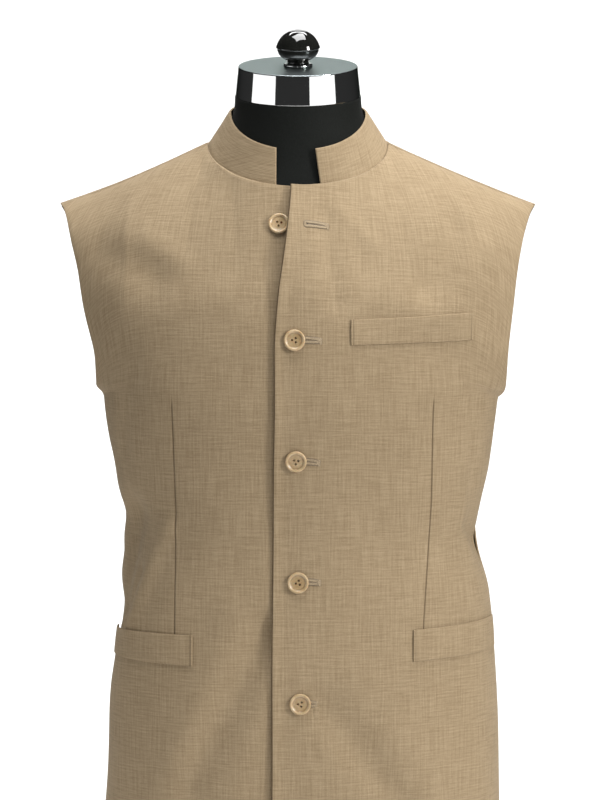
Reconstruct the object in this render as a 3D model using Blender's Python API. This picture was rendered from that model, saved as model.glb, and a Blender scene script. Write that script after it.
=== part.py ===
"""A sleeveless band-collar jacket buttoned on a limbless dress form that stands on a round base.

Metres, +Z up. The front of the jacket faces -Y, so the wearer's left is +X. The origin is the
middle of the base's underside. Every cloth piece is a wall on one shared garment surface, which is
worked out from the short tables of sizes below.
"""

import math

import bmesh
import bpy
import numpy as np
from mathutils import Matrix

SHARP_FROM = math.radians(40)

# Cloth
WALL = 0.0020
SEAM_GAP = 0.0003

# Heights and half widths of the whole garment, on the cloth's inner face
NECK_FRONT = (0.0, -0.077, 0.796)
NECK_SIDE = (0.0865, -0.003, 0.833)
NECK_BACK = (0.0, 0.064, 0.841)
SHOULDER_TIP = (0.2293, 0.004, 0.774)
SHOULDER_SAG = 0.002

# One row for each level of a front, hem to armhole. Column names are in FRONT_COLUMNS.
# centre and edge are heights; depth is y at the centre; side_x and side_y place the side or armhole
# edge; sweep says how much of a quarter turn the level makes; full is the superellipse power;
# over and under are x of the front edge of the upper and the lower front (the lower one mirrored).
FRONT_COLUMNS = ("centre", "edge", "depth", "side_x", "side_y", "sweep", "full", "over", "under")
FRONT_LEVELS = {
    "hem": (0.175, 0.175, -0.121, 0.1945, 0.006, 90, 2.35, -0.0255, -0.0200),
    "seat": (0.245, 0.245, -0.123, 0.1936, 0.006, 90, 2.35, -0.0249, -0.0200),
    "hip": (0.325, 0.325, -0.123, 0.1903, 0.006, 90, 2.35, -0.0250, -0.0200),
    "pocket": (0.395, 0.395, -0.119, 0.1845, 0.006, 90, 2.30, -0.0245, -0.0200),
    "waist": (0.456, 0.456, -0.116, 0.1716, 0.006, 90, 2.25, -0.0238, -0.0200),
    "ribs": (0.530, 0.525, -0.122, 0.1842, 0.006, 90, 2.30, -0.0234, -0.0200),
    "chest": (0.592, 0.590, -0.128, 0.1925, 0.006, 90, 2.35, -0.0224, -0.0190),
    "underarm": (0.640, 0.600, -0.127, 0.1985, -0.031, 77, 2.30, -0.0226, -0.0165),
    "scoop": (0.690, 0.636, -0.120, 0.2005, -0.058, 68, 2.25, -0.0194, -0.0105),
}
# One row for each level of a back half, on the same side seam.
BACK_COLUMNS = ("centre", "edge", "depth", "side_x", "side_y", "sweep", "full")
BACK_LEVELS = {
    "hem": (0.175, 0.175, 0.120, 0.1945, 0.006, 90, 2.35),
    "seat": (0.245, 0.245, 0.126, 0.1936, 0.006, 90, 2.35),
    "hip": (0.325, 0.325, 0.122, 0.1903, 0.006, 90, 2.35),
    "pocket": (0.395, 0.395, 0.109, 0.1845, 0.006, 90, 2.30),
    "waist": (0.456, 0.456, 0.099, 0.1716, 0.006, 90, 2.25),
    "ribs": (0.530, 0.525, 0.106, 0.1842, 0.006, 90, 2.30),
    "chest": (0.592, 0.590, 0.119, 0.1925, 0.006, 90, 2.35),
    "underarm": (0.640, 0.600, 0.126, 0.1950, 0.043, 77, 2.35),
    "scoop": (0.690, 0.638, 0.128, 0.1945, 0.068, 67, 2.30),
}
SIDE_SEAM_TOP = 6
ARMHOLE_TURN = (0.75, 1.0)
ARMHOLE_START = (1.0, 1.0, 0.6)
ARMHOLE_LEVEL = 8
# From the last level up to the neckline and shoulder seam: how far each level has come,
# in x at the centre and at the shoulder, in height, and in depth at the centre and at the shoulder.
RISE_COLUMNS = ("out_centre", "out", "up", "deep_centre", "deep_shoulder")
RISE = {
    "armhole": (0.37, 0.16, 0.30, 0.25, 0.06),
    "yoke": (0.70, 0.34, 0.58, 0.52, 0.22),
    "cap": (0.91, 0.60, 0.82, 0.79, 0.52),
    "ridge": (0.985, 0.84, 0.955, 0.945, 0.80),
    "seam": (1.0, 1.0, 1.0, 1.0, 1.0),
}
RISE_SHOULDER_SHARES = (0.25, 0.75)
NECK_SHARE = {"front": 0.50, "back": 0.42}
TOP_START = {"over": -0.0069, "under": 0.0020}

# The upper front lies on the lower one, and stands off it where the top button is left open.
LAP_X = (0.026, 0.080)
LIFT = 0.0062
LIFT_X = (-0.010, 0.062)
LIFT_Z = 0.738
LIFT_SPREAD_Z = 0.052
LIFT_EASE_Z = (0.770, 0.797)
LIFT_EASE = 0.55
# Soft folds: girth and height of each end, half width, and depth (out is positive).
FOLD_COLUMNS = ("girth_a", "z_a", "girth_b", "z_b", "width", "depth")
FOLDS = {
    "over": {
        "waist nip": (0.190, 0.468, 0.226, 0.446, 0.015, -0.0040),
        "nip ridge": (0.170, 0.500, 0.190, 0.440, 0.010, 0.0016),
    },
    "under": {
        "waist trough": (0.176, 0.480, 0.212, 0.392, 0.020, -0.0060),
        "waist ridge": (0.130, 0.470, 0.176, 0.376, 0.010, 0.0030),
    },
    "back left": {"small of back": (0.050, 0.440, 0.150, 0.455, 0.016, -0.0030)},
    "back right": {"small of back": (0.050, 0.440, 0.150, 0.455, 0.016, -0.0030)},
}
# The right side is drawn in, and let out at the shoulder: height, spread up and down, and depth of each
# pull. Both panels that meet there follow it, less and less away from the seam.
PINCHED = ("under", "back right")
PINCH_GIRTH = 0.055
PINCH_COLUMNS = ("height", "spread", "depth")
PINCH = {
    "hem": (0.215, 0.080, -0.0030),
    "hip": (0.280, 0.130, -0.0095),
    "welt": (0.350, 0.034, -0.0068),
    "pocket mouth": (0.392, 0.034, -0.0120),
    "low waist": (0.436, 0.016, -0.0025),
    "waist": (0.477, 0.020, -0.0065),
    "high waist": (0.520, 0.030, -0.0072),
    "ribs": (0.565, 0.035, -0.0040),
    "underarm": (0.625, 0.042, -0.0090),
    "shoulder": (0.745, 0.024, 0.0045),
}

NECK_COLUMNS = {"front": 8, "back": 5}
SHOULDER_COLUMNS = 8
# Where a part of the grid starts, as a level, and the number of its rows, up to the next part
ROW_STEPS = ((0, 4), (2, 12), (4, 12), (ARMHOLE_LEVEL, 8))

# Collar, a band of one wall that leans in towards the neck
COLLAR_WALL = 0.0024
COLLAR_INSET = 0.0003
COLLAR_LIFT = 0.0012
COLLAR_LAP_SHARE = 0.65
COLLAR_TOP_HALF_WIDTH = 0.0668
COLLAR_TOP_FRONT = (-0.0712, 0.8305)
COLLAR_TOP_SIDE_Z = 0.8640
COLLAR_TOP_BACK = (0.0615, 0.8765)
COLLAR_END_OVER = (0.0209, 0.0162)
COLLAR_END_UNDER = (0.0209, 0.0209)
COLLAR_STEPS = 44
COLLAR_ROWS = 4

# Welts: x of the inner and outer end and heights of the corners there; the hip welts run on to a
# share of the front near its side seam.
WELT_WALL = 0.0016
WELT_GAP = 0.0009
WELT_STEPS = 16
WELT_ROWS = 4
CHEST_WELT = {"x": (0.0494, 0.1652), "bottom": (0.6476, 0.6503), "top": (0.6714, 0.6760)}
HIP_WELT_OVER = {"x": 0.1087, "side": 0.985, "bottom": (0.3442, 0.3485), "top": (0.3744, 0.3781)}
HIP_WELT_UNDER = {"x": 0.0992, "side": 0.985, "bottom": (0.3403, 0.3445), "top": (0.3696, 0.3698)}
HIP_WELT_STAND = 0.0015

# Buttons: the front that each is on, and x and height of its middle, top to bottom
BUTTON_SEAT = 0.0003
BUTTON_HOLE_RADIUS = 0.0009
BUTTON_HOLE_CIRCLE = 0.0023
BUTTON_HOLE_DEPTH = 0.02
BUTTON_HOLE_SIDES = 8
BUTTON_HOLE_TURNS = np.radians((30, 150, 270))
BUTTON_SIDES = 20
BUTTONS = {
    "button_1": ("under", 0.0177, 0.7599),
    "button_2": ("over", -0.0033, 0.6525),
    "button_3": ("over", -0.0019, 0.5385),
    "button_4": ("over", 0.0000, 0.4214),
    "button_5": ("over", 0.0021, 0.3065),
}
# Radius and height of the button's turned outline, from the dished middle of its face
BUTTON_OUTLINE = (
    (0.0, 0.0020),
    (0.0062, 0.0021),
    (0.0086, 0.0034),
    (0.0097, 0.0030),
    (0.0101, 0.0020),
    (0.0076, 0.0),
    (0.0, 0.0),
)

# Dress form: how far it lies inside the cloth at each level, then its neck, cap, knob and stand
FORM_CLEARANCE = {
    "hem": 0.0175,
    "seat": 0.0188,
    "hip": 0.0212,
    "pocket": 0.0245,
    "waist": 0.0175,
    "ribs": 0.0125,
    "chest": 0.0110,
    "underarm": 0.0120,
    "scoop": 0.0115,
    "armhole": 0.0080,
    "yoke": 0.0045,
    "cap": 0.0018,
    "ridge": 0.0010,
    "seam": 0.0007,
}
FORM_NECK_COLUMNS = 5
FORM_SHOULDER_COLUMNS = 6
FORM_ROW_STEPS = ((0, 15), (ARMHOLE_LEVEL, 7))
FORM_ARM_COLUMNS = 3
FORM_ARM_BULGE = 0.0065
FORM_FOOT_COLUMNS = ("height", "inset")
FORM_FOOT = ((0.1300, 0.0), (0.1262, 0.0018), (0.1232, 0.0050), (0.1220, 0.0100))
FORM_NECK_DROP = 0.0016
FORM_NECK_INSET = 0.0018
NECK_HALF_WIDTH = 0.0608
NECK_HALF_DEPTH = 0.0600
NECK_RINGS = 8
NECK_FLARE = 2.5
CAP_TILT = math.radians(8.5)
CAP_CENTRE = (0.0, -0.005, 0.8802)
CAP_SIDES = 48
KNOB_SIDES = 28
# Radius and height above the cap's foot of its turned outline, then of the ring and the knob on it
CAP_OUTLINE = (
    (0.0, 0.0288),
    (0.0554, 0.0286),
    (0.0570, 0.0280),
    (0.0576, 0.0266),
    (0.0604, 0.0),
    (0.0, 0.0),
)
RING_OUTLINE = ((0.0, 0.0317), (0.0128, 0.0317), (0.0140, 0.0306), (0.0140, 0.0291), (0.0, 0.0291))
KNOB_OUTLINE = (
    (0.0, 0.0648),
    (0.0080, 0.0634),
    (0.0148, 0.0591),
    (0.0192, 0.0532),
    (0.0213, 0.0476),
    (0.0214, 0.0467),
    (0.0204, 0.0461),
    (0.0199, 0.0424),
    (0.0168, 0.0378),
    (0.0118, 0.0346),
    (0.0104, 0.0331),
    (0.0108, 0.0320),
    (0.0, 0.0320),
)
POST_SIDES = 32
POST_OUTLINE = (
    (0.0, 0.1217),
    (0.0140, 0.1217),
    (0.0140, 0.0205),
    (0.0155, 0.0180),
    (0.0460, 0.0140),
    (0.0475, 0.0128),
    (0.0475, 0.0103),
    (0.0, 0.0103),
)
BASE_SIDES = 56
BASE_OUTLINE = (
    (0.0, 0.0100),
    (0.1470, 0.0100),
    (0.1491, 0.0091),
    (0.1500, 0.0070),
    (0.1500, 0.0),
    (0.0, 0.0),
)

MATERIALS = {
    "cloth": ((0.43, 0.33, 0.20, 1.0), 0.85, 0.0),
    "button": ((0.62, 0.46, 0.26, 1.0), 0.40, 0.0),
    "form_cloth": ((0.012, 0.013, 0.012, 1.0), 0.80, 0.0),
    "knob": ((0.010, 0.010, 0.010, 1.0), 0.15, 0.0),
    "chrome": ((0.80, 0.80, 0.80, 1.0), 0.10, 1.0),
}


def clear_scene():
    for obj in list(bpy.data.objects):
        bpy.data.objects.remove(obj, do_unlink=True)


def material(name):
    found = bpy.data.materials.get(name)
    if found:
        return found
    colour, roughness, metallic = MATERIALS[name]
    made = bpy.data.materials.new(name)
    made.use_nodes = True
    shader = made.node_tree.nodes["Principled BSDF"]
    shader.inputs["Base Color"].default_value = colour
    shader.inputs["Roughness"].default_value = roughness
    shader.inputs["Metallic"].default_value = metallic
    return made


def add_mesh(name, points, faces, finish):
    mesh = bpy.data.meshes.new(name)
    mesh.from_pydata([tuple(point) for point in points], [], [tuple(face) for face in faces])
    mesh.validate()
    mesh.shade_smooth()
    mesh.set_sharp_from_angle(angle=SHARP_FROM)
    obj = bpy.data.objects.new(name, mesh)
    bpy.context.scene.collection.objects.link(obj)
    mesh.materials.append(material(finish))
    return obj


def smooth_step(low, high, value):
    t = np.clip((value - low) / (high - low), 0, 1)
    return t * t * (3 - 2 * t)


def curve_through(rows, share, at):
    """A smooth curve through rows at 0, 1, 2, ..., that never overshoots them, read at the values in at.
    Above the side seam the armhole sets out nearly level, so its foot is round."""
    step = np.diff(rows, axis=0)
    same_way = step[:-1] * step[1:]
    total = np.where(same_way > 0, step[:-1] + step[1:], 1)
    slope = np.zeros_like(rows)
    slope[1:-1] = np.where(same_way > 0, 2 * same_way / total, 0)
    slope[0], slope[-1] = step[0], step[-1]
    upward = slope.copy()
    near_side = smooth_step(*ARMHOLE_TURN, share)[:, None]
    upward[SIDE_SEAM_TOP] += (step[SIDE_SEAM_TOP] * ARMHOLE_START - slope[SIDE_SEAM_TOP]) * near_side
    k = np.clip(np.floor(at).astype(int), 0, len(rows) - 2)
    t = (at - k).reshape((-1,) + (1,) * (rows.ndim - 1))
    here = (1 + 2 * t) * (1 - t) ** 2 * rows[k] + t * (1 - t) ** 2 * upward[k]
    return here + t**2 * (3 - 2 * t) * rows[k + 1] + t**2 * (t - 1) * slope[k + 1]


def roundness(turn, full):
    """How near the centre line a level still is: 1 at turn 0, 0 at a quarter turn."""
    return (1 - np.abs(np.sin(turn)) ** full) ** (1 / full)


def level_curve(row, start_x, share):
    """One level of the garment: a superellipse arc from its front or back edge to its side."""
    last = math.radians(row["sweep"])
    whole = row["side_x"] / math.sin(last)
    first = math.asin(start_x / whole)
    turn = first + (last - first) * share
    gone = (1 - roundness(turn, row["full"])) / (1 - roundness(last, row["full"]))
    x = whole * np.sin(turn)
    y = row["depth"] + (row["side_y"] - row["depth"]) * gone
    towards_side = np.clip(x / row["side_x"], 0, 1) ** 2
    z = row["centre"] + (row["edge"] - row["centre"]) * towards_side
    return np.stack([x, y, z], axis=1)


def top_curve(neck_end, start_x, neck_share, share):
    """The neckline as a quarter ellipse to the neck's side, then the shoulder seam to its tip."""
    side, tip = np.array(NECK_SIDE), np.array(SHOULDER_TIP)
    first = math.asin(start_x / side[0])
    turn = first + (math.pi / 2 - first) * np.clip(share / neck_share, 0, 1)
    neck = side + (np.array(neck_end) - side) * np.cos(turn)[:, None]
    neck[:, 0] = side[0] * np.sin(turn)
    along = np.clip((share - neck_share) / (1 - neck_share), 0, 1)[:, None]
    shoulder = side + (tip - side) * along
    shoulder[:, 2] -= SHOULDER_SAG * np.sin(math.pi * along[:, 0])
    return np.where((share <= neck_share)[:, None], neck, shoulder)


def shoulder_normal():
    """Square to the shoulder seam, with no lean to the front or the back."""
    run = np.array(SHOULDER_TIP) - np.array(NECK_SIDE)
    normal = np.array([-run[2], 0.0, run[0]])
    return normal / np.linalg.norm(normal)


def grid_normals(grid, outward):
    """Unit normals of a grid of points: outward is 1 on the front and -1 on the back."""
    normal = np.cross(np.gradient(grid, axis=1), np.gradient(grid, axis=0)) * outward
    return normal / np.linalg.norm(normal, axis=2, keepdims=True)


class Panel:
    """Half of the garment's front or back. share runs from its edge to its side, level from hem to top."""

    def __init__(self, kind):
        self.back = kind.startswith("back")
        self.kind = kind
        self.neck_share = NECK_SHARE["back" if self.back else "front"]
        self.top_level = len(FRONT_LEVELS) + len(RISE) - 1.0
        self.outward = -1 if self.back else 1

    def key_rows(self, share):
        levels = BACK_LEVELS if self.back else FRONT_LEVELS
        columns = BACK_COLUMNS if self.back else FRONT_COLUMNS
        rows = []
        for level in levels.values():
            row = dict(zip(columns, level))
            rows.append(level_curve(row, row.get(self.kind, 0.0), share))
        base = rows[-1]
        neck_end = NECK_BACK if self.back else NECK_FRONT
        top = top_curve(neck_end, TOP_START.get(self.kind, 0.0), self.neck_share, share)
        at_shoulder = np.clip((share - RISE_SHOULDER_SHARES[0]) / np.diff(RISE_SHOULDER_SHARES), 0, 1)
        for out_centre, out, up, deep_centre, deep_shoulder in RISE.values():
            wide = out_centre + (out - out_centre) * at_shoulder
            deep = deep_centre + (deep_shoulder - deep_centre) * at_shoulder
            part = np.stack([wide, deep, np.full_like(share, up)], axis=1)
            rows.append(base + (top - base) * part)
        return np.array(rows)

    def surface(self, share, level):
        """Points of the cloth's inner face, with shape (levels, shares, 3)."""
        share = np.asarray(share, float)
        return curve_through(self.key_rows(share), share, np.asarray(level, float))

    def normals(self, grid, share, level):
        """Normals of a whole panel, the same on both sides of each seam."""
        normal = grid_normals(grid, self.outward)
        if self.back or self.kind == "form":
            normal[:, 0, 0] = 0
        normal[level < SIDE_SEAM_TOP + 0.01, -1, 1] = 0
        normal[-1, share >= self.neck_share] = shoulder_normal()
        return normal / np.linalg.norm(normal, axis=2, keepdims=True)

    def level_at(self, share, height):
        """The level where the surface reaches a height, at one share, by halving."""
        low, high = 0.0, self.top_level
        for _ in range(30):
            middle = (low + high) / 2
            if self.surface([share], [middle])[0, 0, 2] < height:
                low = middle
            else:
                high = middle
        return (low + high) / 2

    def place(self, x, height):
        """Share and level of the point of the surface with this x and height."""
        share = 0.5
        for _ in range(12):
            level = self.level_at(share, height)
            near = self.surface([share, share + 0.01], [level])[0, :, 0]
            share = float(np.clip(share + (x - near[0]) * 0.01 / (near[1] - near[0]), 0, 0.99))
        return share, self.level_at(share, height)

    def offset(self, grid):
        """How far the cloth stands off the surface: its folds and its lap."""
        total = fold_offset(grid, FOLDS.get(self.kind, {}))
        return total + lap_offset(grid) if self.kind == "over" else total

    def pinch(self, grid, beyond=0.0):
        """How far a drawn-in side seam pulls the cloth in; the grid ends this far before that seam."""
        if self.kind not in PINCHED:
            return 0.0
        run = girth_from(grid)
        near = np.exp(-(((run[:, -1:] + beyond - run) / PINCH_GIRTH) ** 2))
        total = np.zeros_like(near)
        for height, spread, depth in PINCH.values():
            total += depth * near * np.exp(-(((grid[:, :, 2] - height) / spread) ** 2))
        return total


def girth_from(grid):
    """Distance round the body from the middle line to every point of a grid."""
    run = np.cumsum(np.linalg.norm(np.diff(grid, axis=1), axis=2), axis=1)
    return np.concatenate([np.zeros((grid.shape[0], 1)), run], axis=1) + grid[:, :1, 0]


def fold_offset(grid, folds):
    """Soft troughs and ridges along short lines, as distances along the normal."""
    girth = girth_from(grid)
    height = grid[:, :, 2]
    total = np.zeros_like(girth)
    for girth_a, z_a, girth_b, z_b, width, depth in folds.values():
        line = np.array([girth_b - girth_a, z_b - z_a])
        t = np.clip(((girth - girth_a) * line[0] + (height - z_a) * line[1]) / (line @ line), 0, 1)
        away = np.hypot(girth - girth_a - t * line[0], height - z_a - t * line[1])
        total += depth * np.exp(-((away / width) ** 2))
    return total


def lap_offset(points):
    """How far the upper front stands off the surface, over the lower front and where it gapes."""
    x, z = points[..., 0], points[..., 2]
    lap = 1 - smooth_step(*LAP_X, x)
    near_edge = 1 - smooth_step(*LIFT_X, x)
    gape = np.exp(-(((z - LIFT_Z) / LIFT_SPREAD_Z) ** 2))
    neck_ease = 1 - LIFT_EASE * smooth_step(*LIFT_EASE_Z, z)
    return (WALL + SEAM_GAP) * lap + LIFT * near_edge * gape * neck_ease


def cloth_rows(steps, top_level):
    """Levels of a grid's rows, evenly spaced within each part."""
    ends = [start for start, _ in steps[1:]] + [top_level]
    parts = [np.linspace(start, end, count, endpoint=False) for (start, count), end in zip(steps, ends)]
    return np.concatenate([*parts, [top_level]])


def cloth_columns(neck_columns, shoulder_columns, neck_share):
    """Shares of a grid's columns, with one exactly at the neck's side."""
    below_neck = np.linspace(0, neck_share, neck_columns + 1)
    return np.concatenate([below_neck, np.linspace(neck_share, 1, shoulder_columns + 1)[1:]])


def trimmed(grid, first_column):
    """Pulls a panel's seam edges back by half of the seam's gap."""
    grid = grid.copy()
    edges = [(grid[:, -1], grid[:, -2]), (grid[-1], grid[-2])]
    if first_column:
        edges.append((grid[:, 0], grid[:, 1]))
    for edge, inside in edges:
        back = inside - edge
        edge += back / np.linalg.norm(back, axis=1, keepdims=True) * SEAM_GAP / 2
    return grid


def shell(name, inner, outer, finish, mirrored=False, flipped=False):
    """A closed wall between two grids of points of the same shape."""
    rows, columns = inner.shape[:2]
    points = np.concatenate([inner.reshape(-1, 3), outer.reshape(-1, 3)])
    if mirrored:
        points = points * (-1, 1, 1)
    index = np.arange(rows * columns).reshape(rows, columns)
    raised = index + rows * columns
    faces = []
    for j in range(rows - 1):
        for i in range(columns - 1):
            faces.append((raised[j, i], raised[j, i + 1], raised[j + 1, i + 1], raised[j + 1, i]))
            faces.append((index[j, i], index[j + 1, i], index[j + 1, i + 1], index[j, i + 1]))
    rim = [(0, i) for i in range(columns)]
    rim += [(j, columns - 1) for j in range(1, rows)]
    rim += [(rows - 1, i) for i in range(columns - 2, -1, -1)]
    rim += [(j, 0) for j in range(rows - 2, 0, -1)]
    for a, b in zip(rim, rim[1:] + rim[:1]):
        faces.append((index[a], index[b], raised[b], raised[a]))
    if mirrored != flipped:
        faces = [face[::-1] for face in faces]
    return add_mesh(name, points, faces, finish)


def cloth_panel(name, kind, mirrored):
    """A whole front or half back as one wall."""
    panel = Panel(kind)
    neck_columns = NECK_COLUMNS["back" if panel.back else "front"]
    share = cloth_columns(neck_columns, SHOULDER_COLUMNS, panel.neck_share)
    level = cloth_rows(ROW_STEPS, panel.top_level)
    grid = trimmed(panel.surface(share, level), panel.back)
    normal = panel.normals(grid, share, level)
    offset = (panel.offset(grid) + panel.pinch(grid))[:, :, None]
    shell(name, grid + normal * offset, grid + normal * (offset + WALL), "cloth", mirrored, panel.back)


def neck_point(front, side, back, turn):
    """A point of a ring round the neck; front and back are (y, z), side is (x, y, z)."""
    near = front if math.cos(turn) >= 0 else back
    fall = abs(math.cos(turn))
    return np.array(
        [side[0] * math.sin(turn), side[1] + (near[0] - side[1]) * fall, side[2] + (near[1] - side[2]) * fall]
    )


def collar():
    """The band collar: it starts just inside the neckline and leans in to its top edge."""
    foot_front = (NECK_FRONT[1] + COLLAR_INSET, NECK_FRONT[2] + COLLAR_LIFT)
    foot_side = (NECK_SIDE[0] - COLLAR_INSET, NECK_SIDE[1], NECK_SIDE[2] + COLLAR_LIFT)
    foot_back = (NECK_BACK[1] - COLLAR_INSET, NECK_BACK[2] + COLLAR_LIFT)
    head_side = (COLLAR_TOP_HALF_WIDTH, NECK_SIDE[1], COLLAR_TOP_SIDE_Z)
    inner = np.zeros((COLLAR_ROWS, COLLAR_STEPS, 3))
    outer = np.zeros_like(inner)
    for j, rise in enumerate(np.linspace(0, 1, COLLAR_ROWS)):
        width = foot_side[0] + (head_side[0] - foot_side[0]) * rise
        over_x = COLLAR_END_OVER[0] + (COLLAR_END_OVER[1] - COLLAR_END_OVER[0]) * rise
        under_x = COLLAR_END_UNDER[0] + (COLLAR_END_UNDER[1] - COLLAR_END_UNDER[0]) * rise
        first, last = math.asin(over_x / width), 2 * math.pi - math.asin(under_x / width)
        for i, turn in enumerate(np.linspace(first, last, COLLAR_STEPS)):
            foot = neck_point(foot_front, foot_side, foot_back, turn)
            head = neck_point(COLLAR_TOP_FRONT, head_side, COLLAR_TOP_BACK, turn)
            outward = np.array([math.sin(turn), -math.cos(turn), 0.0])
            lap = lap_offset(foot) * COLLAR_LAP_SHARE if turn < math.pi / 2 else 0.0
            outer[j, i] = foot + (head - foot) * rise + outward * lap
            inner[j, i] = outer[j, i] - outward * COLLAR_WALL
    shell("collar", inner, outer, "cloth")


def welt_grid(panel, places):
    """Points of the panel's surface for a welt: places has (share, low height, high height) in order."""
    grid = np.zeros((WELT_ROWS, len(places), 3))
    for i, (share, low, high) in enumerate(places):
        for j, height in enumerate(np.linspace(low, high, WELT_ROWS)):
            grid[j, i] = panel.surface([share], [panel.level_at(share, height)])[0, 0]
    return grid


def chest_welt():
    """The breast pocket's welt, made from the upper front's points, moved out."""
    panel = Panel("over")
    places = []
    for t in np.linspace(0, 1, WELT_STEPS):
        ends = [CHEST_WELT[key] for key in ("x", "bottom", "top")]
        x, low, high = (start + (end - start) * t for start, end in ends)
        places.append((panel.place(x, (low + high) / 2)[0], low, high))
    grid = welt_grid(panel, places)
    normal = grid_normals(grid, 1)
    lift = WALL + WELT_GAP + panel.offset(grid)[:, :, None]
    shell("chest_welt", grid + normal * lift, grid + normal * (lift + WELT_WALL), "cloth")


def hip_welt(name, kind, sizes, mirrored):
    """A hip pocket's welt, from beside the dart to the side, standing off a little towards its top."""
    panel = Panel(kind)
    first = panel.place(sizes["x"], sizes["bottom"][0])[0]
    places = []
    for t in np.linspace(0, 1, WELT_STEPS):
        low, high = (sizes[key][0] + np.diff(sizes[key])[0] * t for key in ("bottom", "top"))
        places.append((first + (sizes["side"] - first) * t, low, high))
    grid = welt_grid(panel, places)
    normal = grid_normals(grid, 1)
    normal[:, -1, 1] = 0
    normal /= np.linalg.norm(normal, axis=2, keepdims=True)
    ridges = {key: fold for key, fold in FOLDS[kind].items() if fold[-1] > 0}
    stand = np.linspace(0, 1, WELT_ROWS)[:, None] * np.linspace(0, 1, WELT_STEPS) ** 2 * HIP_WELT_STAND
    end = panel.surface([sizes["side"], 1.0], [panel.level_at(sizes["side"], sizes["bottom"][1])])[0]
    pinch = panel.pinch(grid, np.linalg.norm(end[1] - end[0]))
    lift = (WALL + WELT_GAP + stand + fold_offset(grid, ridges) + pinch)[:, :, None]
    shell(name, grid + normal * lift, grid + normal * (lift + WELT_WALL), "cloth", mirrored)


def turned(name, outline, sides, finish, centre=(0.0, 0.0, 0.0), tilt=0.0):
    """A solid of revolution from (radius, height) pairs, from its top's middle to its underside's."""
    points, faces, rings = [], [], []
    for radius, height in outline:
        turns = np.linspace(0, 2 * math.pi, sides, endpoint=False) if radius else [0.0]
        rings.append(range(len(points), len(points) + len(turns)))
        points += [(radius * math.cos(turn), radius * math.sin(turn), height) for turn in turns]
    for high, low in zip(rings, rings[1:]):
        for k in range(sides):
            n = (k + 1) % sides
            corners = [high[k % len(high)], low[k % len(low)], low[n % len(low)], high[n % len(high)]]
            faces.append(tuple(dict.fromkeys(corners)))
    points = np.array(points) @ np.array(Matrix.Rotation(tilt, 3, "X")).T + centre
    return add_mesh(name, points, faces, finish)


def button_blank():
    """A horn button with a raised rim and three sewing holes, face up, standing on Z = 0."""
    disc = turned("button_blank", BUTTON_OUTLINE, BUTTON_SIDES, "button")
    cutters = []
    for turn in BUTTON_HOLE_TURNS:
        bpy.ops.mesh.primitive_cylinder_add(
            vertices=BUTTON_HOLE_SIDES,
            radius=BUTTON_HOLE_RADIUS,
            depth=BUTTON_HOLE_DEPTH,
            location=(BUTTON_HOLE_CIRCLE * math.cos(turn), BUTTON_HOLE_CIRCLE * math.sin(turn), 0),
        )
        cutter = bpy.context.object
        cutter.hide_render = True
        cutter.display_type = "WIRE"
        cut = disc.modifiers.new("sewing hole", "BOOLEAN")
        cut.operation = "DIFFERENCE"
        cut.solver = "EXACT"
        cut.object = cutter
        cutters.append(cutter)
    graph = bpy.context.evaluated_depsgraph_get()
    mesh = bpy.data.meshes.new_from_object(disc.evaluated_get(graph))
    for obj in [disc, *cutters]:
        bpy.data.objects.remove(obj, do_unlink=True)
    points = np.array([vertex.co for vertex in mesh.vertices])
    return points, [tuple(face.vertices) for face in mesh.polygons]


def buttons():
    """The five buttons, each square to the cloth that it lies on."""
    points, faces = button_blank()
    for name, (kind, x, height) in BUTTONS.items():
        panel = Panel(kind)
        share, level = panel.place(x, height)
        grid = panel.surface([share - 0.01, share, share + 0.01], [level - 0.05, level, level + 0.05])
        normal = grid_normals(grid, 1)[1, 1]
        middle = grid[1, 1] + normal * (panel.offset(grid)[1, 1] + WALL + BUTTON_SEAT)
        across = np.cross((0, 0, 1), normal) * -1
        across /= np.linalg.norm(across)
        upward = np.cross(normal, across)
        placed = points @ np.array([across, upward, normal]) + middle
        turned_over = kind == "under"
        if turned_over:
            placed = placed * (-1, 1, 1)
        add_mesh(name, placed, [face[::-1] if turned_over else face for face in faces], "button")


def form_side(kind):
    """The form's half front or back: the garment's surface, moved in, as rows of points."""
    panel = Panel(kind)
    share = cloth_columns(FORM_NECK_COLUMNS, FORM_SHOULDER_COLUMNS, panel.neck_share)
    level = cloth_rows(FORM_ROW_STEPS, panel.top_level)
    grid = panel.surface(share, level)
    inside = np.interp(level, np.arange(panel.top_level + 1), list(FORM_CLEARANCE.values()))
    grid -= panel.normals(grid, share, level) * inside[:, None, None]
    neck = share <= panel.neck_share
    grid[-1, neck, :2] *= 1 - FORM_NECK_INSET / NECK_SIDE[0]
    grid[-1, neck, 2] -= FORM_NECK_DROP * np.cos(np.linspace(0, math.pi / 2, neck.sum()))
    return grid, int(neck.sum())


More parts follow.
